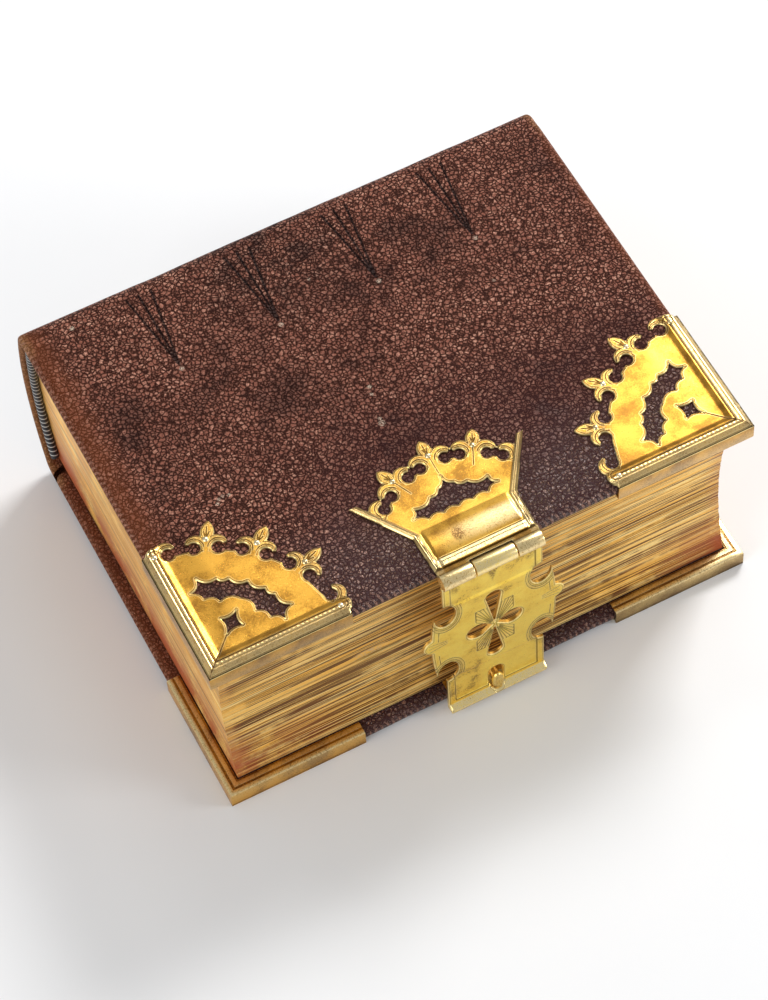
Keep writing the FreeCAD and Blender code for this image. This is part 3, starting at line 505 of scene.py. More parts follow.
@dataclass(frozen=True)
class GiltPages:
    """Gilt edges with the lines of the leaves, and reddish bole where the gold is rubbed."""

    name: str = "gilt_pages"
    gilt: Colour = (0.96, 0.52, 0.090)
    pale: Colour = (1.0, 0.74, 0.29)
    dark: Colour = (0.12, 0.036, 0.006)
    bole: Colour = (0.40, 0.085, 0.022)
    flake: Colour = (0.70, 0.50, 0.27)
    deep: Colour = (0.03, 0.012, 0.006)

    def material(self) -> bpy.types.Material:
        """Builds the material.

        Returns:
            The finished page edges.
        """
        b = Bench(self.name)
        here = b.place()
        x, _, z = b.parts(here)
        lines = b.noise(b.stretched(here, (0.008, 0.008, 1.35)), 1.0, 2.0, 0.9)
        streaks = b.noise(b.stretched(here, (0.020, 0.020, 0.95)), 1.0, 2.0, 0.9)
        sheets = b.noise(b.stretched(here, (0.015, 0.015, 0.9)), 1.0, 3.0, 0.6)
        cloud = b.noise(here, 0.07, 4.0, 0.6)
        speck = b.noise(here, 1.2, 3.0, 0.7)
        leaf = b.noise(b.stretched(here, (0.005, 0.005, 0.62)), 1.0, 2.0, 0.8)
        slit = b.band(b.sum("ABSOLUTE", b.sum("SUBTRACT", leaf, 0.5)), 0.045, 0.012)
        tone = b.mix(b.band(sheets, 0.35, 0.7), self.gilt, self.pale)
        tail = b.band(x, -68.0, -70.5)
        tone = b.mix(b.both(b.band(streaks, 0.44, 0.40), b.plus(0.48, tail, -0.28)), tone, self.dark)
        tone = b.mix(b.both(b.band(lines, 0.46, 0.42), b.plus(0.88, tail, -0.40)), tone, self.dark)
        slit = b.both(slit, b.band(cloud, 0.35, 0.50), b.plus(0.90, tail, -0.55))
        tone = b.mix(slit, tone, self.dark)
        low = b.both(b.band(z, 26.0, 5.0), b.band(b.sum("ABSOLUTE", x), 30.0, 71.0))
        red = b.sum("ADD", b.both(low, 0.75), b.both(b.band(b.sum("ABSOLUTE", x), 66.0, 71.6), 0.35))
        worn = b.both(red, b.band(b.plus(cloud, speck, 0.3), 0.42, 0.72))
        tone = b.mix(worn, tone, self.bole)
        tone = b.mix(b.both(b.number("chip"), b.band(speck, 0.45, 0.62), 0.9), tone, self.flake)
        # Painted shade in the split between the leaves.
        tone = b.mix(b.number("gap"), tone, self.deep)
        rough = b.plus(0.30, lines, 0.3)
        relief = b.bump(b.plus(lines, streaks, 0.5), 0.24, 1.0)
        shine = b.sum("SUBTRACT", 0.55, b.both(worn, 0.45))
        return b.finish(Base_Color=tone, Roughness=rough, Normal=relief, Metallic=shine)


@dataclass(frozen=True)
class Silk:
    """Black and silver stitches of an end band."""

    name: str = "end_band_silk"
    black: Colour = (0.012, 0.012, 0.016)
    silver: Colour = (0.55, 0.55, 0.52)

    def material(self) -> bpy.types.Material:
        """Builds the material.

        Returns:
            The finished silk.
        """
        b = Bench(self.name)
        here = b.place()
        strand = b.noise(here, 3.0, 3.0, 0.7)
        tone = b.mix(b.band(b.number("stitch"), 0.72, 0.90), self.black, self.silver)
        tone = b.mix(b.band(strand, 0.62, 0.75), tone, self.black)
        return b.finish(Base_Color=tone, Roughness=0.45, Normal=b.bump(strand, 0.06, 0.8))


@dataclass(frozen=True)
class Plain:
    """Paper, cloth or board with fibres and a slow change of tone."""

    name: str
    first: Colour
    second: Colour
    fibre: float = 1.5
    rough: float = 0.75
    depth: float = 0.03

    def material(self) -> bpy.types.Material:
        """Builds the material.

        Returns:
            The finished surface.
        """
        b = Bench(self.name)
        here = b.place()
        cloud = b.noise(here, 0.08, 4.0, 0.6)
        fibres = b.noise(b.stretched(here, (1.0, 0.35, 1.0)), self.fibre, 4.0, 0.7)
        share = b.band(b.plus(b.both(cloud, 0.6), fibres, 0.4), 0.35, 0.68)
        tone = b.mix(share, self.first, self.second)
        rough = b.plus(self.rough - 0.1, fibres, 0.2)
        return b.finish(Base_Color=tone, Roughness=rough, Normal=b.bump(fibres, self.depth, 0.6))


def dress(piece: bpy.types.Object, material: bpy.types.Material) -> None:
    """Gives every slot of a piece one material."""
    for slot in piece.material_slots:
        slot.material = material
    if not piece.material_slots:
        piece.data.materials.append(material)


# The leather

@dataclass
class Covering:
    """The leather of one half: from the middle of the back, over the shoulder and round the board."""

    side: Side
    shoulder: float = 5.0
    bulge: float = 9.0
    turn_in: float = 12.0
    hinge_strip: float = 4.0
    window_depth: float = 0.9
    cap_radius: float = 1.0
    cap_ledge: float = 4.0
    band_width: float = 6.4
    tool_length: float = 26.0
    tool_spread: float = 3.6
    tool_depth: float = 0.38
    swell: float = 0.16
    sunk: float = 0.15
    bend_zone: float = 2.5
    hinge_dip: float = 0.3
    straight: float = 60.0
    step: float = 0.08
    end_turns: tuple = (15, 30, 45, 60, 75, 90, 120, 150, 180)

    def __post_init__(self) -> None:
        """Works out the arcs of the section."""
        self.middle = BOOK.thickness / 2
        self.reach = self.middle - self.hinge_dip - self.shoulder
        flat = self.bulge - self.shoulder
        self.radius = (flat ** 2 + self.reach ** 2) / (2 * flat) + self.shoulder
        self.centre = BOOK.hinge[1] + self.bulge - self.radius
        high = flat + BOOK.spine_high[1] - BOOK.hinge[1] - self.bulge
        self.ridge_radius = (high ** 2 + self.reach ** 2) / (2 * high) + self.shoulder
        self.ridge_centre = BOOK.spine_high[1] - self.ridge_radius
        self.round = BOOK.board / 2
        self.window = (BOOK.fore_edge + self.turn_in, BOOK.cover_high[1] - self.hinge_strip)

    def section(self) -> tuple[Array, Array, Array, Array]:
        """Draws the section across the book, seen from its end.

        Returns:
            Points (y, z), outward directions, the radius of the rounded ends, and 1 on the back
            falling to 0 at the hinge.
        """
        points, outs, rims, backs = [], [], [], []

        def lay(point: Array, out: Array, rim: Array, back: Array) -> None:
            """Adds a stretch of the section."""
            points.append(point)
            outs.append(out)
            rims.append(rim)
            backs.append(back)

        touch = math.asin(self.reach / (self.radius - self.shoulder))
        for angles, centre, radius, share in (
                (np.linspace(0, touch, 26), (self.centre, self.middle), self.radius, lambda a: a * 0),
                (np.linspace(touch, math.pi / 2, 12)[1:], (BOOK.hinge[1], self.middle + self.reach),
                 self.shoulder, lambda a: ease(a, touch, math.pi / 2))):
            out = np.stack([np.cos(angles), np.sin(angles)], 1)
            slide = share(angles)
            rim = self.cap_radius + (self.round - self.cap_radius) * slide
            lay(np.array(centre) + radius * out, out, rim, 1 - slide)
        back_end = BOOK.cover_high[1] - self.round
        fore_end = BOOK.fore_edge + self.round
        fine = np.arange(back_end, back_end - self.tool_length, -0.9)
        coarse = np.linspace(fine[-1] - 1.5, fore_end, 38)
        near, far = self.window
        window = [near, near + self.step, far - self.step, far]
        flat = np.unique(np.concatenate([fine, coarse, window]))[::-1]
        step = np.linspace(BOOK.hinge[1], back_end, 5)[1:-1]
        top = np.concatenate([step, flat])
        height = BOOK.thickness - self.hinge_dip * ease(top, back_end, BOOK.hinge[1])
        ones = np.ones(len(top))
        lay(np.stack([top, height], 1), np.stack([0 * ones, ones], 1), self.round * ones, 0 * ones)
        axis = BOOK.thickness - self.round
        for start, end, across, count in ((90, 270, fore_end, 13), (-90, 55, back_end, 10)):
            angles = np.radians(np.linspace(start, end, count))[1:]
            out = np.stack([np.cos(angles), np.sin(angles)], 1)
            ones = np.ones(len(out))
            if start < 0:
                under = flat[::-1][1:]
                flats = np.ones(len(under))
                lay(np.stack([under, flats * (axis - self.round)], 1), np.stack([0 * flats, -flats], 1),
                    self.round * flats, 0 * flats)
            lay(np.array([across, axis]) + self.round * out, out, self.round * ones, 0 * ones)
        return tuple(np.concatenate(part) for part in (points, outs, rims, backs))

    def columns(self) -> Array:
        """Gives the places of the columns along the straight part of the back, fine beside each band."""
        limit = BOOK.half_length - self.round
        near = np.concatenate([np.arange(*run) for run in
                               ((-5.6, -4.3, 0.4), (-4.2, 4.21, 0.24), (4.4, 5.7, 0.4))])
        fine = [band + near for band in BOOK.bands]
        coarse = np.arange(-limit, limit, 1.9)
        keep = np.min([np.abs(coarse - band) for band in BOOK.bands], axis=0) > 6.2
        edge = BOOK.half_length - self.turn_in
        window = [-edge, -edge + self.step, edge - self.step, edge]
        return np.unique(np.concatenate([*fine, coarse[keep], window, [limit]]))

    def tooling(self, x: Array, y: Array) -> Array:
        """Marks the three fanned lines beside each band.

        Args:
            x: Places along the back.
            y: Places across the cover.

        Returns:
            How deep each place is, from 0 to 1.
        """
        start = BOOK.cover_high[1]
        tip = BOOK.hinge[1] - self.tool_length
        along = np.clip((start - y) / (start - tip), 0, 1)
        deep = np.zeros(np.broadcast(x, y).shape)
        for band in BOOK.bands:
            for turn in (-1, 0, 1):
                gap = np.abs(x - band - turn * self.tool_spread * (1 - along))
                deep = np.maximum(deep, ease(gap, 0.62 - 0.16 * along, 0.05))
        return deep * ease(y, tip - 0.4, tip + 1.2) * ease(y, start + 0.4, start - 1.6)

    def ridges(self, x: Array, z: Array) -> Array:
        """Raises the leather over the sewing bands.

        Args:
            x: Places along the back.
            z: Heights on the back.

        Returns:
            The rise in mm.
        """
        off = z - self.middle
        outer = self.ridge_centre + np.sqrt(np.maximum(self.ridge_radius ** 2 - off ** 2, 0))
        inner = self.centre + np.sqrt(self.radius ** 2 - off ** 2)
        rise = np.maximum(outer - inner, 0.25) * ease(np.abs(off), self.middle - 0.5, self.reach - 3)
        profile = 0 * x
        for band in BOOK.bands:
            gap = np.abs(x - band) / (self.band_width / 2)
            profile = np.maximum(profile, np.clip(1 - gap ** 2.6, 0, 1) ** 0.6)
        return rise * profile

    def build(self, material: bpy.types.Material) -> bpy.types.Object:
        """Makes the leather of this half.

        Args:
            material: Its finish.

        Returns:
            The dressed piece.
        """
        point, out, rim, back = self.section()
        limit = BOOK.half_length - self.round
        base = self.columns()
        rows = len(point)
        end = [(angle, 0.0) for angle in np.radians(self.end_turns)] + [(math.pi, self.cap_ledge)]
        specs = [(-1, *turn) for turn in end[::-1]] + [(0, x, 0.0) for x in base]
        specs += [(1, *turn) for turn in end]
        places, faces = [], []
        for sign, number, ledge in specs:
            if sign == 0:
                x = np.full(rows, number)
                past = np.abs(x) - self.straight
                stretch = (BOOK.half_length - rim - self.straight) / (limit - self.straight)
                x = np.where(past > 0, np.sign(x) * (self.straight + past * stretch), x)
                drop, angle = 0 * x, 0 * x
            else:
                angle = np.minimum(number, math.pi / 2) + max(number - math.pi / 2, 0) * back
                x = sign * (BOOK.half_length - rim + rim * np.sin(angle) - ledge * back)
                drop = rim * (1 - np.cos(angle))
            places.append(np.column_stack([x, point - drop[:, None] * out]))
            faces.append(np.cos(angle).clip(0, 1))
        place = np.stack(places, 1)
        face = np.stack(faces, 1)
        x, y, z = place[..., 0], place[..., 1], place[..., 2]
        is_top = (out[:, 1] > 0.99)[:, None] & (z > BOOK.thickness - 0.5)
        is_under = (out[:, 1] < -0.99)[:, None]
        tool = self.tooling(x, y) * is_top * face
        inside = (np.abs(x) < BOOK.half_length - self.turn_in - self.step / 2)
        inside &= (y > self.window[0] + self.step / 2) & (y < self.window[1] - self.step / 2)
        wave = np.array([noise.noise(Vector(p) / 17.0) + 0.5 * noise.noise(Vector(p) / 6.0)
                         for p in place.reshape(-1, 3)]).reshape(x.shape)
        lift = -self.tool_depth * tool + self.swell * wave * face * ~is_under
        lift -= (self.window_depth + 0.02) * (inside & is_under)
        lift += self.ridges(x, z) * (back[:, None] > 0.02) * face * ease(np.abs(x), 75, 70)
        if self.side is Side.BACK:
            lift -= self.sunk * is_top * face
        place[..., 1:] += lift[..., None] * out[:, None, :]
        shown = place.copy()
        if self.side is Side.BACK:
            shown[..., 2] = BOOK.thickness - shown[..., 2]
        quads = grid_faces(rows, place.shape[1], flip=self.side is Side.BACK)
        piece = make_piece(f"{self.side.name.lower()}_skin", shown.reshape(-1, 3), quads,
                           {"rest": place.reshape(-1, 3)})
        weld(piece)
        dress(piece, material)
        height = BOOK.hinge[2] if self.side is Side.FRONT else 0.0
        zone = [(0, (BOOK.hinge[1] + shift) * MM, height * MM) for shift in (self.bend_zone, 0.0)]
        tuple(zone[0])
        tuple(zone[1])
        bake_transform(piece)
        return piece


# Sheet metal, drawn flat as distances: below 0 is metal

def disc(u: Array, v: Array, centre: Point, radius: float) -> Array:
    """The distance to a round."""
    return np.hypot(u - centre[0], v - centre[1]) - radius


def stroke(u: Array, v: Array, start: Point, end: Point, radius: float = 0.0) -> Array:
    """The distance to a straight stroke with round ends."""
    run = np.array(end) - np.array(start)
    share = np.clip(((u - start[0]) * run[0] + (v - start[1]) * run[1]) / (run @ run), 0, 1)
    return np.hypot(u - start[0] - share * run[0], v - start[1] - share * run[1]) - radius


def outline(points: list, bow: float = 0.0, steps: int = 8) -> Array:
    """Rounds the sides of a closed outline.

    Args:
        points: Its corners in order.
        bow: How far each side bows to the left of its travel, as a share of its length.
        steps: Pieces that each side is drawn in.

    Returns:
        The drawn outline.
    """
    corners = np.array(points, float)
    after = np.roll(corners, -1, axis=0)
    chord = after - corners
    left = np.stack([-chord[:, 1], chord[:, 0]], 1)
    share = np.arange(steps if bow else 1) / steps
    drawn = (corners[:, None] + share[None, :, None] * chord[:, None]
             + 4 * bow * (share * (1 - share))[None, :, None] * left[:, None])
    return drawn.reshape(-1, 2)


def area(u: Array, v: Array, points: Array) -> Array:
    """The distance to a closed outline, below 0 inside it.

    Args:
        u: Places across.
        v: Places up.
        points: The outline.

    Returns:
        The distances.
    """
    gap = np.full(u.shape, NOWHERE)
    inside = np.zeros(u.shape, bool)
    for (ax, ay), (bx, by) in zip(points, np.roll(points, -1, axis=0)):
        if (ax, ay) == (bx, by):
            continue
        gap = np.minimum(gap, stroke(u, v, (ax, ay), (bx, by)))
        if ay != by:
            inside ^= ((ay > v) != (by > v)) & (u < (bx - ax) * (v - ay) / (by - ay) + ax)
    return np.where(inside, -gap, gap)


def petal(u: Array, v: Array, root: Point, angle: float, length: float, width: float) -> Array:
    """The distance to a pointed petal that starts at its root."""
    half, wide = length / 2, width / 2
    radius = (half ** 2 + wide ** 2) / (2 * wide)
    bearing = math.radians(angle)
    middle = np.array(root) + half * np.array([math.cos(bearing), math.sin(bearing)])
    shift = (radius - wide) * np.array([-math.sin(bearing), math.cos(bearing)])
    return np.maximum(disc(u, v, middle + shift, radius), disc(u, v, middle - shift, radius))


def drop(u: Array, v: Array, root: Point, angle: float, length: float, radius: float) -> Array:
    """The distance to a petal with a point at its root and a round end."""
    far = length - radius
    swing = math.asin(radius / far)
    bearing = math.radians(angle)
    end = np.array(root) + far * np.array([math.cos(bearing), math.sin(bearing)])
    reach = far * math.cos(swing)
    touch = [np.array(root) + reach * np.array([math.cos(bearing + s), math.sin(bearing + s)])
             for s in (-swing, swing)]
    return np.minimum(area(u, v, np.array([root, touch[0], touch[1]])), disc(u, v, end, radius))


def polar(centre: Point, radius: float, angle: float) -> Point:
    """A point at a distance and an angle in degrees from a centre."""
    bearing = math.radians(angle)
    return centre[0] + radius * math.cos(bearing), centre[1] + radius * math.sin(bearing)


def melt(first: Array, second: Array, soft: float) -> Array:
    """Joins two distances with a rounded inner corner of that size."""
    share = np.clip(0.5 + 0.5 * (second - first) / soft, 0, 1)
    return second * (1 - share) + first * share - soft * share * (1 - share)


@dataclass
class Blank:
    """A flat grid that a sheet of brass is cut from."""

    low: Point
    high: Point
    step: float = 0.2

    def __post_init__(self) -> None:
        """Lays the grid."""
        across = np.arange(self.low[0], self.high[0] + self.step, self.step)
        up = np.arange(self.low[1], self.high[1] + self.step, self.step)
        self.u, self.v = np.meshgrid(across, up)

    def cut(self, shape: Callable, height: Callable, foot: Callable,
            marks: Callable) -> tuple[Array, list, dict]:
        """Cuts a sheet out of the grid, with its edge moved exactly onto the outline.

        Args:
            shape: Gives the distance at places u, v.
            height: Gives the top's height at u, v and the way in from the edge.
            foot: Gives the height of the under side at u, v.
            marks: Gives the numbers kept for the finish at u, v.

        Returns:
            Points (u, v, height), faces and marks.
        """
        u, v = self.u.copy(), self.v.copy()
        gap = shape(u, v)
        for _ in range(2):
            near = np.abs(gap) < 0.52 * self.step
            dv, du = np.gradient(shape(u, v), self.step)
            norm = np.maximum(np.hypot(du, dv), 0.5)
            move = np.where(near, np.clip(gap / norm, -self.step, self.step), 0) * 0.95
            u, v = u - move * du / norm, v - move * dv / norm
            gap = np.where(near, 0.0, shape(u, v))
        inside = gap <= 1e-9
        number = np.full(u.shape, -1)
        number[inside] = np.arange(inside.sum())
        corner = np.stack([number[:-1, :-1], number[:-1, 1:], number[1:, 1:], number[1:, :-1]], -1)
        corner = corner.reshape(-1, 4)
        count = (corner >= 0).sum(1)
        quads = corner[count == 4]
        threes = corner[count == 3]
        tris = threes[threes >= 0].reshape(-1, 3)
        used = np.unique(np.concatenate([quads.ravel(), tris.ravel()]))
        renumber = np.full(inside.sum(), -1)
        renumber[used] = np.arange(len(used))
        uu, vv, way = (part[inside][used] for part in (u, v, -gap))
        top = height(uu, vv, way)
        quads, tris = renumber[quads], renumber[tris]
        total = len(used)
        edges = np.concatenate([np.stack([part, np.roll(part, -1, axis=1)], -1).reshape(-1, 2)
                                for part in (quads, tris)])
        code = edges[:, 0] * total + edges[:, 1]
        back = edges[:, 1] * total + edges[:, 0]
        rim = edges[~np.isin(code, back)]
        walls = np.stack([rim[:, 1], rim[:, 0], rim[:, 0] + total, rim[:, 1] + total], 1)
        points = np.concatenate([np.column_stack([uu, vv, level]) for level in (top, foot(uu, vv))])
        faces = quads.tolist() + tris.tolist() + walls.tolist()
        faces += (quads[:, ::-1] + total).tolist() + (tris[:, ::-1] + total).tolist()
        kept = {"edge": way, **marks(uu, vv)}
        return points, faces, {key: np.tile(numbers, 2) for key, numbers in kept.items()}


@dataclass
class Fret:
    """Fleurs and scrolls along a curved brass border."""

    centre: Point
    radius: float
    fleurs: tuple
    scroll: float
    ends: tuple
    reach: float = 7.7
    petal_width: float = 3.5
    lean: float = 0.0
    eye: float = 1.68
    hook: float = 2.75
    hook_rise: float = 0.95
    hook_lean: float = 0.55
    mouth: float = 0.80
    mouth_turn: float = 72.0
    mouth_reach: float = 3.0
    bite: float = 0.75
    stem: float = 1.3
    channel: tuple = ()

    def eyes(self) -> list:
        """The scroll eyes: their angle and the side that they open to."""
        rows = [(angle + side * self.scroll, side) for angle in self.fleurs for side in (-1, 1)]
        return rows + [(self.ends[0], -1), (self.ends[1], 1)]

    def metal(self, u: Array, v: Array) -> Array:
        """The distance to the fleurs and scrolls, with the web that carries them."""
        gap = disc(u, v, self.centre, self.radius - self.bite)
        for angle, side in self.eyes():
            turn = math.degrees(self.hook_lean / self.radius)
            middle = polar(self.centre, self.radius + self.hook_rise, angle - side * turn)
            spot, bearing = polar(self.centre, self.radius, angle), math.radians(angle)
            du, dv = u - spot[0], v - spot[1]
            away = side * (dv * math.cos(bearing) - du * math.sin(bearing))
            outward = du * math.cos(bearing) + dv * math.sin(bearing)
            barb = np.minimum(away - 0.4, away / math.tan(math.radians(self.mouth_turn)) - outward)
            gap = np.minimum(gap, np.maximum(disc(u, v, middle, self.hook), barb))
        for angle in self.fleurs:
            foot = polar(self.centre, self.radius + 1.0, angle)
            leaf = petal(u, v, foot, angle + self.lean, self.reach - 1.0, self.petal_width)
            heel = disc(u, v, polar(self.centre, self.radius + 2.2, angle), 1.4)
            stem = stroke(u, v, polar(self.centre, self.radius - 1, angle), foot, self.stem)
            gap = np.minimum(np.minimum(gap, stem), melt(leaf, heel, 0.6))
        return gap

    def holes(self, u: Array, v: Array) -> Array:
        """The distance to the openings in the scrolls."""
        gap = np.full(u.shape, NOWHERE)
        for angle, side in self.eyes():
            spot = polar(self.centre, self.radius, angle)
            gap = np.minimum(gap, disc(u, v, spot, self.eye))
            away = polar(spot, self.mouth_reach, angle + side * self.mouth_turn)
            gap = np.minimum(gap, stroke(u, v, spot, away, self.mouth))
        if self.channel:
            ends = [polar(self.centre, self.radius - 0.3, angle) for angle in self.channel]
            gap = np.minimum(gap, stroke(u, v, *ends, 1.2))
        return gap

    def veins(self, u: Array, v: Array) -> Array:
        """The distance to the engraved veins of the petals and the lines along the hooks."""
        gap = np.full(u.shape, FAR)
        for angle in self.fleurs:
            foot = polar(self.centre, self.radius + 2.4, angle)
            for turn, share in ((-20, 0.40), (0, 0.66), (20, 0.40)):
                tip = polar(foot, (self.reach - 2.4) * share, angle + self.lean + turn)
                gap = np.minimum(gap, stroke(u, v, foot, tip))
        for angle, side in self.eyes():
            spot = polar(self.centre, self.radius, angle)
            way = np.hypot(u - spot[0], v - spot[1])
            bearing = math.radians(angle - side * 15)
            outward = (u - spot[0]) * math.cos(bearing) + (v - spot[1]) * math.sin(bearing)
            gap = np.minimum(gap, np.abs(way - self.eye - 0.86) + FAR * ease(outward, 0.5, -0.2))
        return gap


@dataclass
class CornerPlate:
    """One pierced brass corner with its raised rails, wrapped round the board."""

    side: Side
    hand: Hand
    leg: float = 38.0
    rail: float = 4.6
    sheet: float = 0.6
    rise: float = 0.5
    bevel: float = 1.1
    lip: float = 3.2
    wall: float = 0.6
    wing: tuple = ((5.7, 23.1), (8.7, 26.2), (13.1, 23.8), (15.8, 22.4))
    wing_tip: float = 19.6
    brow: tuple = ((11.3, 17.9), (8.1, 20.3))
    brow_tip: float = 16.2
    star: tuple = ((8.6, 8.6), (9.2, 13.2), (13.6, 13.6), (13.2, 9.2))
    bow: float = 0.20
    grooves: tuple = ((2.75, 0.24, 0.20), (1.60, 0.20, 0.18))
    bead: tuple = (0.28, 0.42)

    def __post_init__(self) -> None:
        """Draws the border and the piercings."""
        self.fret = Fret((0.0, 0.0), 36.5, (66.0, 47.0, 27.2), 4.8, (81.0, 10.6), lean=-6.0,
                         channel=(10.6, 21.6))
        bat = [*self.wing, (self.wing_tip,) * 2, *[p[::-1] for p in self.wing[::-1]],
               *[p[::-1] for p in self.brow[::-1]], (self.brow_tip,) * 2, *self.brow]
        self.bat = outline(bat, -self.bow)
        self.lozenge = outline(list(self.star), -0.14)

    def shape(self, u: Array, v: Array) -> Array:
        """The distance to the cut plate."""
        near, far = np.minimum(u, v), np.maximum(u, v)
        rails = np.maximum(near - self.rail, far - self.leg)
        curl = np.hypot(far - self.leg + 1.2, near - self.rail + 1.9) - 2.5
        metal = melt(self.fret.metal(u, v), np.minimum(rails, curl), 0.5)
        holes = np.minimum(area(u, v, self.bat), area(u, v, self.lozenge))
        holes = np.minimum(self.fret.holes(u, v), holes)
        whole = np.maximum(metal, -holes)
        return np.maximum(whole, np.maximum(-self.wall - u, -self.wall - v))

    def foot(self, u: Array, v: Array) -> Array:
        """The under side of the plate."""
        return 0 * u - (0.0 if self.side is Side.FRONT else self.sheet)

    def height(self, u: Array, v: Array, way: Array) -> Array:
        """The top of the plate: bevelled edges, two halves that fall from the mitre and moulded rails."""
        across, along = np.minimum(u, v), np.maximum(u, v)
        top = self.sheet - 0.32 * ease(way, 0.40, 0.0)
        if self.side is Side.BACK:
            return top - self.sheet
        on_rail = ease(across, self.rail + 0.3, self.rail - 1.6)
        groove = -sum(depth * np.exp(-((across - line) / width) ** 2)
                      for line, depth, width in self.grooves)
        beads = 0.035 * np.sin(along * 5.2) * ease(np.abs(across - 2.15), 0.5, 0.2)
        top = top + on_rail * self.rise + (groove + beads) * ease(way, 0.1, 0.8)
        top = top + 0.26 * ease(across, self.rail, self.rail + 9)
        outer = ease(across, -self.wall, self.bevel) - 1
        return top + outer * self.bevel

    def marks(self, u: Array, v: Array) -> dict:
        """The engraved lines, stains and painted highlight of the plate."""
        near, far = np.minimum(u, v), np.maximum(u, v)
        cut = np.minimum(self.fret.veins(u, v), stroke(u, v, (-0.6, -0.6), self.star[0]))
        fade = FAR * ease(far, self.leg - 1.0, self.leg) + 0.06
        for line, _, _ in self.grooves:
            cut = np.minimum(cut, np.abs(near - line) + fade)
        curl = np.abs(np.hypot(far - self.leg + 1.2, near - self.rail + 1.9) - 1.5)
        cut = np.minimum(cut, curl + FAR * ease(far, self.leg - 1.0, self.leg - 1.4))
        stain = 0.55 * ease(np.abs(u - v), 1.2, 0.2) * ease(near, 7.5, 5.0)
        stain = np.maximum(stain, 0.30 * ease(self.fret.metal(u, v), -3.0, 0.0))
        if self.side is Side.BACK:
            stain = ease(np.hypot(u - 1, v - 1), 9, 4)
        # Painted highlight along the outer rail.
        bright = 0.60 * ease(near, 2.9, 2.6) * ease(near, -0.9, -0.3)
        return {"cut": cut, "stain": stain, "bright": bright}

    def channel(self, start: int) -> tuple[Array, list, dict]:
        """Bends the channel that wraps the board's edges, mitred at the corner.

        Args:
            start: The number of its first vertex.

        Returns:
            Its points, faces and marks.
        """
        deep, wall, tip = BOOK.board, self.wall, self.lip
        top = self.sheet + (self.rise - self.bevel if self.side is Side.FRONT else -self.sheet)
        low = -deep - wall
        first, last = (share * tip for share in self.bead)
        # Each row: across, height, share of darker brown, share of painted highlight on the walls and the
        # flat of the lip.
        section = [(-wall, top, 0, 0), (-wall, low + 0.5, 0, 0.4), (-wall + 0.15, low + 0.15, 0, 1),
                   (-wall + 0.5, low, 0, 1), (first - 0.15, low, 0, 0.7), (first, low + 0.2, 1, 0),
                   (last, low + 0.2, 1, 0), (last + 0.15, low - 0.05, 0, 0.8),
                   (0.80 * tip, low - 0.05, 0, 0.3), (0.85 * tip, low + 0.1, 1, 0),
                   (tip - 0.1, low + 0.12, 1, 0), (tip, low + 0.25, 1, 0), (tip, -deep, 1, 0),
                   (0.0, -deep, 1, 0), (0.0, top, 0, 0)]
        spots, stain, bright = [], [], []
        for place in np.concatenate([np.linspace(self.leg, 9, 12), [6.0, 3.0]]):
            spots.append([(across, place, height) for across, height, _, _ in section])
        spots.append([(across, across, height) for across, height, _, _ in section])
        spots += [[(v, u, h) for u, v, h in row] for row in spots[-2::-1]]
        for row in spots:
            for (u, v, _), (_, _, dark, pale) in zip(row, section):
                stain.append(dark * (0.55 + 0.45 * float(ease(max(u, v), 16.0, 5.0))))
                bright.append(pale)
        count, rows = len(section), len(spots)
        faces = grid_faces(rows, count, wrap=True, start=start)
        total = start + rows * count
        faces += [list(range(start, start + count)), list(range(total - 1, total - count - 1, -1))]
        flat = np.full(rows * count, 3.0)
        return (np.array(spots).reshape(-1, 3), faces,
                {"edge": flat, "cut": flat, "stain": np.array(stain), "bright": np.array(bright)})

    def place(self, points: Array) -> Array:
        """Puts plate points (u along the fore-edge, v towards the spine, height) on the board."""
        hand = self.hand.value
        front = self.side is Side.FRONT
        z = BOOK.thickness + points[:, 2] if front else -points[:, 2]
        return np.column_stack([hand * (BOOK.half_length - points[:, 0]), BOOK.fore_edge + points[:, 1], z])

    def build(self, material: bpy.types.Material) -> bpy.types.Object:
        """Makes the corner.

        Args:
            material: Its finish.

        Returns:
            The dressed piece.
        """
        front = self.side is Side.FRONT
        blank = Blank((-self.wall - 0.4,) * 2, (42.5, 42.5), 0.18 if front else 0.4)
        points, faces, marks = blank.cut(self.shape, self.height, self.foot, self.marks)
        extra, extra_faces, more = self.channel(len(points))
        marks = {key: np.concatenate([numbers, more[key]]) for key, numbers in marks.items()}
        points = self.place(np.concatenate([points, extra]))
        word, hand = ("front" if front else "back"), self.hand.name.lower()
        turned = (self.hand is Hand.RIGHT) != (not front)
        faces = [face[::-1] for face in faces + extra_faces] if turned else faces + extra_faces
        piece = make_piece(f"{word}_{hand}_corner_brass", points, faces, marks, crease=SHARP)
        dress(piece, material)
        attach(piece, self.side.value)
        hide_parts(f"{word}_{hand}_corner")
        return piece

    def pin_spots(self) -> list:
        """The pins' places on the plate, each with the height of the brass there."""
        feet = [(*polar((0, 0), self.fret.radius + 2.2, angle), self.sheet + 0.2)
                for angle in self.fret.fleurs]
        near, far = self.rail / 2, self.leg - 1.6
        return feet + [(near, far, self.sheet + self.rise), (far, near, self.sheet + self.rise)]


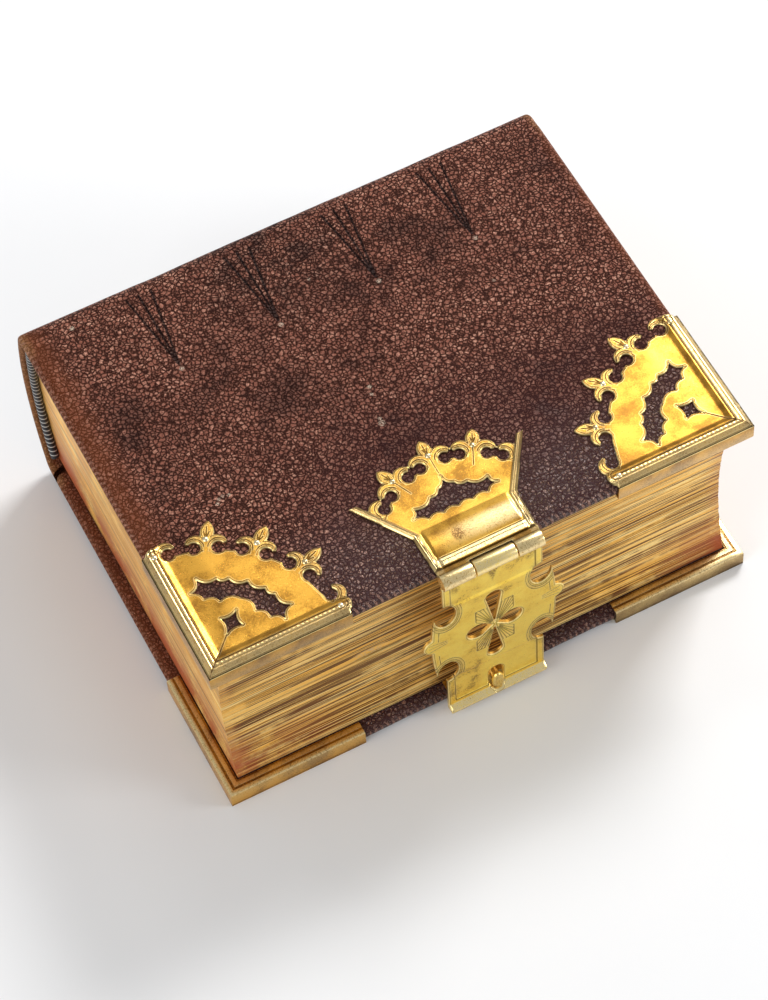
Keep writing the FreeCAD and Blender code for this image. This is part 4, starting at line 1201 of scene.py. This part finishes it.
def domed_pins(name: str, tops: Array, body: str, node: str,
               material: bpy.types.Material) -> bpy.types.Object:
    """Makes small round pin heads on short shanks.

    Args:
        name: The piece's name.
        tops: Where each head sits, in mm.
        body: The body that they ride on.
        node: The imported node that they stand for.
        material: Their finish.

    Returns:
        The dressed piece.
    """
    profile = [(0.0, 0.46), (0.34, 0.42), (0.62, 0.28), (0.80, 0.06), (0.82, -0.05), (0.42, -0.06),
               (0.42, -1.5)]
    count = 18
    turn = np.linspace(0, 2 * math.pi, count, endpoint=False)
    ring = np.array([(r * math.cos(a), r * math.sin(a), h) for r, h in profile for a in turn])
    points, faces = [], []
    for top in tops:
        start = len(points) * len(ring)
        points.append(ring + np.array(top))
        faces += grid_faces(len(profile), count, wrap=True, start=start, flip=True)
    piece = make_piece(name, np.concatenate(points), faces)
    weld(piece)
    dress(piece, material)
    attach(piece, body)
    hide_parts(node)
    return piece


def tube(start: float, end: float, centre: Point, radius: float, bore: float, count: int = 40,
         shift: int = 0) -> tuple[Array, list]:
    """Turns one knuckle of a barrel along X, with eased rims.

    Args:
        start: Its left end.
        end: Its right end.
        centre: Its axis (y, z).
        radius: Its outside.
        bore: The hole through it.
        count: Points round it.
        shift: The number of its first vertex.

    Returns:
        Points and faces.
    """
    soft = 0.22
    third = soft * 0.3
    profile = [(start, bore), (start, radius - soft), (start + third, radius - third),
               (start + soft, radius), (end - soft, radius), (end - third, radius - third),
               (end, radius - soft), (end, bore)]
    turn = np.linspace(0, 2 * math.pi, count, endpoint=False)
    points = np.array([[(x, centre[0] + r * math.cos(a), centre[1] + r * math.sin(a)) for a in turn]
                       for x, r in profile]).reshape(-1, 3)
    faces = grid_faces(len(profile), count, wrap=True, start=shift)
    last = (len(profile) - 1) * count + shift
    faces += [[shift + (n + 1) % count, shift + n, last + n, last + (n + 1) % count]
              for n in range(count)]
    return points, faces


@dataclass
class Clasp:
    """The crown on the front cover, the hanging arm, and the catch on the back cover."""

    base: float = 14.0
    neck: float = 14.4
    neck_up: float = 10.8
    span: float = 24.4
    tip_up: float = 26.0
    crown_sheet: float = 0.8
    border: float = 2.0
    border_rise: float = 0.5
    knuckle_left: float = 8.7
    knuckle_right: float = 7.3
    gap: float = 0.3
    pin: float = 0.8
    arm_gap: float = 2.4
    arm_sheet: float = 1.0
    arm_foot: float = 2.0
    middle: float = 35.0
    lobe_span: float = 17.7
    lobe_rise: float = 14.0
    leaf_span: float = 20.0
    notch: float = 3.0
    notch_tall: float = 4.5
    notch_span: float = 13.5
    notch_rise: float = 13.8
    slot_half: float = 1.95
    slot_low: float = 3.1
    slot_high: float = 12.6
    lip: float = 1.7
    lip_height: float = 2.0
    stud_tall: float = 3.3
    eye_left: tuple = ((-11.8, 15.6), (-10.2, 18.2), (-5.2, 19.4), (-2.2, 20.8))
    eye_top: float = 23.8
    eye_foot: tuple = ((8.2, 14.3), (4.1, 14.3), (0.0, 14.3), (-4.1, 14.3), (-8.2, 14.3))
    petals: tuple = ((90, 15.4, 2.15), (270, 15.4, 2.15), (0, 7.8, 2.9), (180, 7.8, 2.9))
    petal_root: float = 0.7
    rays: tuple = ((1.0, 0.48), (1.0, 0.66), (1.0, 0.84), (1.0, 1.0), (0.80, 1.0), (0.60, 1.0), (0.42, 1.0))
    ray_span: Point = (5.3, 9.6)
    panel: float = 11.9

    def __post_init__(self) -> None:
        """Works out the barrel and draws the crown's border."""
        low, high = node_box("clasp_hinge_pin")
        self.axis = tuple(float(part) for part in (low + high)[1:] / 2)
        self.barrel = float(node_box("clasp_arm")[1][2]) - self.axis[1]
        self.fret = Fret((0.0, 4.4), 24.2, (115.5, 90.0, 64.5), 8.2, (133.5, 46.5), reach=7.0,
                         petal_width=3.7, eye=1.55, hook=2.95, hook_rise=0.9, hook_lean=0.6, mouth=0.5,
                         mouth_turn=62.0, mouth_reach=2.5, stem=1.85)
        right = [(-x, y) for x, y in self.eye_left[::-1]]
        self.eye = outline([*self.eye_left, (0.0, self.eye_top), *right, *self.eye_foot], -0.20)
        self.left_knuckle = -self.base + self.knuckle_left
        self.right_knuckle = self.base - self.knuckle_right

    def crown_shape(self, x: Array, y: Array) -> Array:
        """The distance to the crown plate, y measured from the fore-edge."""
        foot = -2.4
        fan = area(x, y, np.array([(-self.base, foot), (self.base, foot), (self.neck, self.neck_up),
                                   (self.span, self.tip_up), (0, 60.0), (-self.span, self.tip_up),
                                   (-self.neck, self.neck_up)]))
        stem = area(x, y, np.array([(-self.base, foot), (self.base, foot), (self.neck, self.neck_up),
                                    (-self.neck, self.neck_up)]))
        metal = np.minimum(np.maximum(self.fret.metal(x, y), fan), stem)
        metal = melt(metal, self.crown_rails(x, y), 0.4)
        metal = np.maximum(metal, -np.minimum(self.fret.holes(x, y), area(x, y, self.eye)))
        low, high = self.left_knuckle - 0.02, self.right_knuckle + 0.02
        room = area(x, y, np.array([(low, -9), (high, -9), (high, -1.1), (low, -1.1)]))
        return np.maximum(metal, -room)

    def crown_foot(self, x: Array, y: Array) -> Array:
        """The under side of the crown, lifted clear of the turning knuckle."""
        return 0.02 + 0.52 * ease(y, -0.1, -0.4)

    def crown_rails(self, x: Array, y: Array) -> Array:
        """The distance to the raised side borders."""
        gap = np.full(x.shape, NOWHERE)
        for side in (-1, 1):
            run = [(self.base, -1.6), (self.neck, self.neck_up), (self.span, self.tip_up),
                   (self.span - self.border, self.tip_up), (self.neck - self.border, self.neck_up),
                   (self.base - self.border, -1.6)]
            gap = np.minimum(gap, area(x, y, np.array([(side * a, b) for a, b in run])))
        return gap

    def crown_height(self, x: Array, y: Array, way: Array) -> Array:
        """The top of the crown: bevelled, with raised borders, a rounded neck and two steps at its foot."""
        top = self.crown_sheet - 0.34 * ease(way, 0.42, 0.0)
        inward = -self.crown_rails(x, y)
        top = top + self.border_rise * ease(inward, -0.1, 0.7)
        inner = ease(np.abs(x), self.base - 1.6, self.base - 2.6)
        round_neck = 0.50 * np.sin(np.clip((y - 2.4) / (self.neck_up - 1.4), 0, 1) * math.pi)
        steps = 0.34 * ease(y, 2.7, 2.3) + 0.26 * ease(y, 1.5, 1.2)
        hollow = -0.25 * ease(np.hypot(x / 22, (y - 21) / 9), 1.0, 0.3) * ease(y, 11, 14)
        top = top + (round_neck + steps) * inner + hollow
        fall = ease(y, -0.05, -0.35)
        return top * (1 - fall) + 0.62 * fall + 0.12 * fall * ease(y, -1.2, -2.4)

    def crown_marks(self, x: Array, y: Array) -> dict:
        """The engraved lines, the stain, the painted shade on the fall to the barrel and the painted
        highlight of the crown.
        """
        cut = self.fret.veins(x, y)
        for angle in self.fret.fleurs:
            foot = polar(self.fret.centre, self.fret.radius + 1.2, angle)
            tip = polar(self.fret.centre, self.fret.radius - 3.8, angle)
            cut = np.minimum(cut, stroke(x, y, foot, tip) + 0.04)
        rails = self.crown_rails(x, y)
        cut = np.minimum(cut, np.abs(rails + 0.75) + FAR * (rails > 0))
        steps = np.minimum(np.abs(y - 1.35), np.abs(y - 2.5))
        cut = np.minimum(cut, np.where(np.abs(x) < self.base - 2.2, steps, FAR))
        stain = 0.95 * ease(np.hypot((x + 4.2) / 1.6, (y - 6.6) / 1.9), 1.25, 0.65)
        # Painted shade: below the plate's edge, the fall to the barrel is drawn as one dark groove.
        cut = cut * (1 - ease(y, 0.15, -0.1))
        stain = np.maximum(stain, 0.35 * ease(self.fret.metal(x, y), -3.5, 0.0) * ease(y, 14, 18))
        # Painted highlight across the rounded neck, on the steps at its foot and on the raised borders.
        bright = ease(np.abs(y - 6.6), 3.6, 1.5) * ease(x, -12, 6) * 0.75
        bright = np.maximum(bright, ease(y, 2.6, 2.2) * ease(y, 0.0, 0.3))
        bright = np.maximum(bright, 0.55 * ease(rails, 0.1, -0.2))
        return {"cut": cut, "stain": stain, "bright": bright}

    def build_crown(self, brass: bpy.types.Material) -> bpy.types.Object:
        """Makes the crown with its two outer knuckles.

        Args:
            brass: Its finish.

        Returns:
            The dressed piece.
        """
        blank = Blank((-self.span - 1, -3.0), (self.span + 1, 38.5), 0.2)
        points, faces, marks = blank.cut(self.crown_shape, self.crown_height, self.crown_foot,
                                         self.crown_marks)
        points = points + np.array([0, BOOK.fore_edge, BOOK.thickness])
        for start, end in ((-self.base, self.left_knuckle), (self.right_knuckle, self.base)):
            extra, more = tube(start, end, self.axis, self.barrel, self.pin, shift=len(points))
            points = np.concatenate([points, extra])
            faces += more
        marks = self.extended(marks, len(points))
        piece = make_piece("clasp_crown_plate", points, faces, marks, crease=SHARP)
        dress(piece, brass)
        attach(piece, "front_cover")
        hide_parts("clasp_crown")
        return piece

    def extended(self, marks: dict, total: int) -> dict:
        """Adds the marks of the barrel, painted highlight all over, to those of a plate."""
        plain = {"edge": 3.0, "cut": 3.0, "stain": 0.0, "bright": 1.0}
        return {key: np.concatenate([numbers, np.full(total - len(numbers), plain[key])])
                for key, numbers in marks.items()}

    def notches(self, x: Array, z: Array) -> Array:
        """How far each place lies from the middle of the nearest notch, as shares of the notch."""
        return np.hypot((np.abs(x) - self.notch_span) / self.notch,
                        (np.abs(z - self.middle) - self.notch_rise) / self.notch_tall)

    def side(self, z: Array) -> Array:
        """The half width of the arm's lobes."""
        return self.lobe_span - 1.1 * ((z - self.middle) / self.lobe_rise) ** 2

    def arm_shape(self, x: Array, z: Array) -> Array:
        """The distance to the cut arm, drawn upright."""
        half, mid, foot = self.base, self.middle, self.arm_foot
        top = self.axis[1] - self.barrel - self.gap
        strip = area(x, z, np.array([(-half, foot), (half, foot), (half, top), (-half, top)]))
        reach, rise = np.abs(x), np.abs(z - mid)
        lobes = np.maximum(reach - self.side(z), rise - self.lobe_rise)
        leaf = np.minimum(petal(reach, z, (13.4, mid + 1.8), 0, self.leaf_span - 13.4, 6.4),
                          disc(reach, z, (17.5, mid + 3.0), 1.5))
        metal = np.minimum(strip, melt(lobes, leaf, 0.5))
        holes = (self.notches(x, z) - 1) * 3.3
        for angle, length, radius in self.petals:
            root = polar((0, mid), self.petal_root, angle)
            holes = np.minimum(holes, drop(x, z, root, angle, length - self.petal_root, radius))
        holes = np.minimum(holes, stroke(x, z, (0, self.slot_low + self.slot_half),
                                         (0, self.slot_high - self.slot_half), self.slot_half))
        return np.maximum(metal, -holes)

    def arm_foot_height(self, x: Array, z: Array) -> Array:
        """The back of the arm."""
        return 0 * x

    def arm_height(self, x: Array, z: Array, way: Array) -> Array:
        """The arm's face: bevelled edges, sunk panels on its straight parts and a lip at its foot."""
        reach, rise = np.abs(x), np.abs(z - self.middle)
        top = self.arm_sheet - 0.30 * ease(way, 0.40, 0.0)
        straight = ease(rise, self.notch_rise + 3.0, self.notch_rise + 4.2)
        above = ease(z, self.arm_foot + 3.4, self.arm_foot + 4.0)
        top = top - 0.26 * straight * ease(reach, self.panel + 0.2, self.panel - 0.2) * above
        cushion = 0.22 * ease(np.hypot(x / 17, (z - self.middle) / 16), 1.0, 0.2)
        lip = self.lip * ease(z, self.arm_foot + self.lip_height + 0.4, self.arm_foot + 0.7)
        return top + cushion + lip

    def arm_marks(self, x: Array, z: Array) -> dict:
        """The engraved rays, borders, stains and painted highlight of the arm."""
        mid = self.middle
        reach, rise = np.abs(x), np.abs(z - mid)
        cut = np.full(x.shape, FAR)
        wide, tall = self.ray_span
        for across, up in self.rays:
            far = (wide * across, tall * up)
            cut = np.minimum(cut, stroke(reach, rise, (0.22 * far[0], 0.22 * far[1]), far) + 0.02)
        cut = np.minimum(cut, stroke(reach, rise, (wide, 0.5 * tall), (wide, tall)))
        cut = np.minimum(cut, stroke(reach, rise, (0.55 * wide, tall), (wide, tall)))
        top = self.axis[1] - self.barrel
        foot = self.arm_foot + self.lip_height + 1.3
        for start, end in (((self.panel, mid + 17.6), (self.panel, top)), ((self.panel, foot), (2.4, foot)),
                           ((self.panel, mid - 17.6), (self.panel, foot))):
            cut = np.minimum(cut, stroke(reach, z, start, end))
        rings = self.notches(x, z)
        for size in (1.27, 1.50):
            ring = np.abs(rings - size) * 3.3 + FAR * (rise > self.notch_rise + 3.4)
            cut = np.minimum(cut, ring + 0.03)
        lobe = np.abs(reach - self.side(z) + 1.7) + FAR * (rise > 8.0) + FAR * (rise < 3.4)
        cut = np.minimum(cut, lobe + 0.03)
        for turn in (-1.6, 0.0, 1.6):
            vein = stroke(reach, z, (13.6, mid + 1.8 + 0.4 * turn), (18.6, mid + 1.8 + turn))
            cut = np.minimum(cut, vein + 0.03)
        wedge = area(x, z, np.array([(-2.0, top), (2.0, top), (0.0, top - 7.0)]))
        stain = 0.85 * ease(wedge, 0.35, -0.4)
        spot = np.hypot((reach - 10.4) / 1.6, (z - top + 2.5) / 3.0)
        stain = np.maximum(stain, 0.6 * ease(spot, 1.2, 0.4))
        stain = np.maximum(stain, 0.35 * ease(rings, 1.7, 1.2))
        # Painted highlight along the lip at the foot and on the strip under the knuckle.
        bright = ease(z, self.arm_foot + self.lip_height + 0.5, self.arm_foot + self.lip_height)
        bright = np.maximum(bright, 0.8 * ease(z, top - 1.6, top - 1.1))
        return {"cut": cut, "stain": stain, "bright": bright}

    def build_arm(self, brass: bpy.types.Material) -> bpy.types.Object:
        """Makes the arm with its middle knuckle.

        Args:
            brass: Its finish.

        Returns:
            The dressed piece.
        """
        blank = Blank((-self.leaf_span - 1, self.arm_foot - 1), (self.leaf_span + 1, self.axis[1]), 0.22)
        points, faces, marks = blank.cut(self.arm_shape, self.arm_height, self.arm_foot_height,
                                         self.arm_marks)
        front = BOOK.fore_edge - self.arm_gap
        points = np.column_stack([points[:, 0], front - points[:, 2], points[:, 1]])
        left, right = self.left_knuckle + self.gap, self.right_knuckle - self.gap
        extra, more = tube(left, right, self.axis, self.barrel, self.pin + 0.05, shift=len(points))
        points, faces = np.concatenate([points, extra]), faces + more
        low = self.axis[1] - self.barrel - self.gap - 0.4
        back, face = front, front - self.arm_sheet + 0.1
        start = len(points)
        strap = [(x, y, z) for z in (low, low + 1.3) for x in (left, right) for y in (face, back)]
        points = np.concatenate([points, np.array(strap)])
        faces += [[start + n for n in quad] for quad in
                  ([0, 2, 6, 4], [1, 5, 7, 3], [0, 4, 5, 1], [2, 3, 7, 6], [0, 1, 3, 2], [4, 6, 7, 5])]
        marks = self.extended(marks, len(points))
        piece = make_piece("clasp_arm_plate", points, faces, marks, crease=SHARP)
        dress(piece, brass)
        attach(piece, "clasp")
        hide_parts("clasp_arm")
        return piece

    def crown_pins(self) -> Array:
        """Where the crown's pins sit."""
        spots = [polar(self.fret.centre, self.fret.radius + 1.9, angle) for angle in self.fret.fleurs]
        return np.array([(x, BOOK.fore_edge + y, BOOK.thickness + self.crown_sheet) for x, y in spots])

    def build_stud(self, brass: bpy.types.Material) -> bpy.types.Object:
        """Makes the catch's stud: a neck and an oval head with a hollow in its face.

        Args:
            brass: Its finish.

        Returns:
            The dressed piece.
        """
        low, high = node_box("catch_stud")
        centre = (low + high) / 2
        wide, tall = (high[0] - low[0]) / 2 + 0.1, self.stud_tall
        neck, out = 1.2, high[1] - low[1]
        profile = [(neck, neck, 0.0), (neck, neck, out - 1.2), (wide - 0.15, tall - 0.15, out - 1.2),
                   (wide, tall, out - 1.0), (wide, tall, out - 0.55),
                   (wide - 0.25, tall - 0.25, out - 0.15), (wide - 0.60, tall - 0.60, out),
                   (wide - 0.85, tall - 0.90, out - 0.10), (0.40, 1.3, out - 0.6), (0.0, 0.0, out - 0.6)]
        turn = np.linspace(0, 2 * math.pi, 40, endpoint=False)
        points = [(centre[0] + a * math.cos(t), high[1] - far, centre[2] + c * math.sin(t))
                  for a, c, far in profile for t in turn]
        quads = grid_faces(len(profile), len(turn), wrap=True)
        piece = make_piece("catch_stud_head", np.array(points), quads, crease=50)
        weld(piece)
        dress(piece, brass)
        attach(piece, "back_cover")
        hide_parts("catch_stud")
        return piece


# The pages

@dataclass
class Pages:
    """All the leaves, hollow at the fore-edge, with their edges showing as fine lines."""

    hollow: float = 4.0
    rows: int = 170
    ripple: float = 0.11
    sections: float = 0.16

    def build(self, material: bpy.types.Material) -> bpy.types.Object:
        """Makes the page block.

        Args:
            material: Its finish.

        Returns:
            The dressed piece.
        """
        low, high = BOOK.block_low, BOOK.block_high
        middle = (low[2] + high[2]) / 2
        half = (high[2] - low[2]) / 2
        covering = Covering(Side.FRONT)
        back_radius = float(BOOK.lining_high[1]) - covering.centre - 0.8
        ends = np.linspace(0, 1, 34)
        front = np.linspace(-1, 1, 110)
        points, chip, gap = [], [], []
        for z in np.linspace(low[2], high[2], self.rows):
            off = z - middle
            fore = low[1] + self.hollow * (1 - (off / half) ** 2)
            back = covering.centre + math.sqrt(back_radius ** 2 - off ** 2)
            ring = [(low[0], back + (fore - back) * t, -1, 0) for t in ends]
            ring += [(high[0] * t, fore, 0, -1) for t in front[1:-1]]
            ring += [(high[0], fore + (back - fore) * t, 1, 0) for t in ends]
            for x, y, side, forward in ring:
                fine = noise.noise(Vector((x * 0.03, y * 0.03, z * 2.4)))
                broad = noise.noise(Vector((x * 0.012 + 7, y * 0.012, z * 0.55)))
                lift = self.ripple * fine + self.sections * broad
                spoilt = math.exp(-((x + 30) / 4.5) ** 4 - ((z - 29.5) / 1.1) ** 2) if forward else 0.0
                # A thin split between the leaves, pressed in and painted dark as shade.
                shaded_split = math.exp(-((x + 27) / 7.0) ** 4 - ((z - 27.6) / 0.28) ** 2) if forward else 0.0
                lift -= 0.55 * spoilt + 0.8 * shaded_split
                points.append((x + side * lift, y + forward * lift, z))
                chip.append(spoilt)
                gap.append(shaded_split)
        count = len(points) // self.rows
        faces = grid_faces(self.rows, count, wrap=True)
        faces.append(list(range(count))[::-1])
        faces.append(list(range(len(points) - count, len(points))))
        piece = make_piece("page_edges", np.array(points), faces, {"chip": chip, "gap": gap}, crease=60)
        dress(piece, material)
        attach(piece, "block")
        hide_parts("text_block")
        return piece


@dataclass
class EndBand:
    """A roll of silk stitches along the round of the pages at one end."""

    node: str
    pitch: float = 0.82
    round: float = 0.14

    def build(self, material: bpy.types.Material) -> bpy.types.Object:
        """Makes the stitched roll.

        Args:
            material: Its finish.

        Returns:
            The dressed piece.
        """
        low, high = node_box(self.node)
        thick = float(high[0] - low[0]) / 2
        middle = (low[2] + high[2]) / 2
        covering = Covering(Side.FRONT)
        bend = float(high[1]) - covering.centre - thick
        sweep = math.asin(min(1.0, (float(high[2]) - middle - thick) / bend))
        length = 2 * sweep * bend
        stitches = int(length / self.pitch)
        steps = stitches * 6
        turn = np.linspace(0, 2 * math.pi, 20, endpoint=False)
        points, stitch = [], []
        for step in range(steps + 1):
            share = step / steps
            angle = -sweep + 2 * sweep * share
            for spin in turn:
                phase = share * stitches + 0.35 * math.sin(spin)
                swell = abs(math.sin(math.pi * phase))
                radius = thick * (1 - self.round + self.round * swell)
                out = bend + radius * math.cos(spin)
                points.append(((low[0] + high[0]) / 2 + radius * math.sin(spin),
                               covering.centre + out * math.cos(angle), middle + out * math.sin(angle)))
                stitch.append(swell * (int(phase) % 2))
        faces = grid_faces(steps + 1, len(turn), wrap=True)
        faces += [list(range(len(turn)))[::-1], list(range(len(points) - len(turn), len(points)))]
        piece = make_piece(self.node + "_stitches", np.array(points), faces, {"stitch": stitch}, crease=70)
        dress(piece, material)
        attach(piece, "block")
        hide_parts(self.node)
        return piece


# The studio

@dataclass
class Studio:
    """A plain pale floor, soft light and the camera at the photograph's angle."""

    azimuth: float = -23.02
    elevation: float = 57.62
    roll: float = 5.0
    distance: float = 0.9143
    focal_pixels: float = 3380.0
    target: Point = (0.0010, 0.0047)
    long_side: int = 1000
    sensor: float = 36.0
    floor_tone: float = 0.80
    world_strength: float = 0.50
    mirror_strength: float = 0.48
    floor_half: float = 3.0

    def camera(self) -> bpy.types.Object:
        """Puts the camera where the photograph was taken from."""
        turn, lift = math.radians(self.azimuth), math.radians(self.elevation)
        back = Vector((math.sin(turn) * math.cos(lift), -math.cos(turn) * math.cos(lift), math.sin(lift)))
        right = (-back).cross(Vector((0, 0, 1))).normalized()
        down = (-back).cross(right)
        spin = math.radians(self.roll)
        across = math.cos(spin) * right + math.sin(spin) * down
        under = -math.sin(spin) * right + math.cos(spin) * down
        axes = Matrix((across, -under, back)).transposed().to_4x4()
        axes.translation = Vector((*self.target, 0)) + back * self.distance
        lens = bpy.data.cameras.new("studio_camera")
        lens.sensor_width = self.sensor
        lens.lens = self.focal_pixels * self.sensor / self.long_side
        lens.clip_start, lens.clip_end = 0.01, 20
        camera = bpy.data.objects.new("studio_camera", lens)
        camera.matrix_world = axes
        bpy.context.scene.collection.objects.link(camera)
        bpy.context.scene.camera = camera
        return camera

    def lamp(self, name: str, place: tuple, aim: tuple, size: Point, power: float) -> None:
        """Hangs one soft oblong lamp."""
        light = bpy.data.lights.new(name, "AREA")
        light.shape, light.energy = "RECTANGLE", power
        light.size, light.size_y = size
        lamp = bpy.data.objects.new(name, light)
        lamp.location = place
        lamp.rotation_euler = (Vector(aim) - Vector(place)).to_track_quat("-Z", "Y").to_euler()
        bpy.context.scene.collection.objects.link(lamp)

    def backdrop(self) -> None:
        """Lights the world evenly and lays the floor."""
        world = bpy.data.worlds.new("studio")
        bpy.context.scene.world = world
        world.use_nodes = True
        tree = world.node_tree
        ground = tree.nodes["Background"]
        path = tree.nodes.new("ShaderNodeLightPath")
        level = tree.nodes.new("ShaderNodeMapRange")
        level.inputs["To Min"].default_value = self.world_strength
        level.inputs["To Max"].default_value = self.mirror_strength
        tree.links.new(path.outputs["Is Glossy Ray"], level.inputs["Value"])
        tree.links.new(level.outputs[0], ground.inputs["Strength"])
        ground.inputs["Color"].default_value = (0.95, 0.97, 1.0, 1.0)
        ring = np.array([(-1, -1, 0), (1, -1, 0), (1, 1, 0), (-1, 1, 0)])
        floor = make_piece("studio_floor", ring * self.floor_half / MM, [[0, 1, 2, 3]])
        b = Bench("studio_floor")
        here = b.place()
        tone = b.mix(b.noise(here, 0.02, 4.0), (self.floor_tone,) * 3, (self.floor_tone * 0.97,) * 3)
        dress(floor, b.finish(Base_Color=tone, Roughness=0.9, Specular_IOR_Level=0.1))

    def build(self) -> None:
        """Sets up the camera, the lamps and the floor."""
        self.camera()
        scene = bpy.context.scene
        scene.view_settings.view_transform = "Standard"
        self.backdrop()
        self.lamp("key", (0.66, 0.44, 0.80), (0, 0, 0.03), (0.34, 0.34), 9.5)
        self.lamp("front_right", (0.78, -0.52, 0.34), (0, 0, 0.03), (0.30, 0.30), 3.0)
        self.lamp("left_fill", (-0.95, -0.25, 0.42), (0, 0, 0.03), (0.7, 0.7), 5.4)
        self.lamp("plate_sheen", (0.12, 0.43, 0.90), (-0.045, -0.048, 0.066), (0.10, 0.08), 0.045)
        self.lamp("edge_sheen", (0.19, 0.37, 0.83), (-0.01, -0.054, 0.066), (0.26, 0.05), 0.40)


def report(piece: bpy.types.Object) -> None:
    """Logs one finished piece."""
    log.info("%s: %d faces", piece.name, len(piece.data.polygons))


def main() -> None:
    """Builds and dresses the book, sub-assembly by sub-assembly."""
    logging.basicConfig(level=logging.INFO, format="%(name)s: %(message)s")
    Studio().build()
    leather = Morocco().material()
    for side in Side:
        skin = Covering(side).build(leather)
        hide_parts(f"{side.name.lower()}_leather")
        report(skin)
    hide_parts("spine_leather")
    corner_brass = AgedBrass("corner_brass", metal=(0.68, 0.355, 0.054),
                             deep=(0.47, 0.22, 0.025)).material()
    old_brass = AgedBrass("tarnished_brass", metal=(0.52, 0.36, 0.14), deep=(0.30, 0.18, 0.06),
                          tarnish=0.48).material()
    pin_brass = AgedBrass("pin_brass", metal=(0.96, 0.85, 0.58), deep=(0.9, 0.7, 0.35), tarnish=0.1,
                          rough=0.25, drawn=False).material()
    plain_brass = AgedBrass("plain_brass", metal=(0.86, 0.63, 0.20), drawn=False).material()
    pins = []
    for side in Side:
        for hand in Hand:
            corner = CornerPlate(side, hand)
            aged = side is Side.BACK and hand is Hand.RIGHT
            piece = corner.build(old_brass if aged else corner_brass)
            report(piece)
            if side is Side.FRONT:
                pins.append(corner.place(np.array(corner.pin_spots())))
    report(domed_pins("front_corner_pin_heads", np.concatenate(pins), "front_cover", "front_corner_pins",
                      pin_brass))
    clasp = Clasp()
    clasp_brass = AgedBrass("clasp_brass", tarnish=0.18).material()
    arm_brass = AgedBrass("arm_brass", metal=(1.0, 0.74, 0.13), deep=(0.90, 0.60, 0.085),
                          tarnish=0.04).material()
    report(clasp.build_crown(clasp_brass))
    report(clasp.build_arm(arm_brass))
    report(clasp.build_stud(plain_brass))
    report(domed_pins("clasp_crown_pin_heads", clasp.crown_pins(), "front_cover", "clasp_crown_pins",
                      pin_brass))
    report(Pages().build(GiltPages().material()))
    silk = Silk().material()
    for node in ("head_band", "tail_band"):
        report(EndBand(node).build(silk))
    endpaper = Plain("endpaper", (0.035, 0.026, 0.024), (0.075, 0.052, 0.045)).material()
    cloth = Plain("lining_cloth", (0.36, 0.29, 0.20), (0.50, 0.42, 0.31), fibre=2.5, depth=0.08).material()
    board = Plain("millboard", (0.24, 0.17, 0.11), (0.38, 0.28, 0.19), rough=0.85).material()
    for node, material in {
            "front_pastedown": endpaper, "back_pastedown": endpaper, "front_flyleaf": endpaper,
            "back_flyleaf": endpaper, "spine_lining": cloth, "sewing_band_1": cloth, "sewing_band_2": cloth,
            "sewing_band_3": cloth, "sewing_band_4": cloth, "front_board": board, "back_board": board,
            "catch_plate": plain_brass, "clasp_hinge_pin": pin_brass,
            "back_corner_pins": pin_brass, "catch_pins": pin_brass}.items():
        dress(frame["nodes"][node], material)
        log.info("%s dressed", node)


if __name__ == "__main__":
    main()
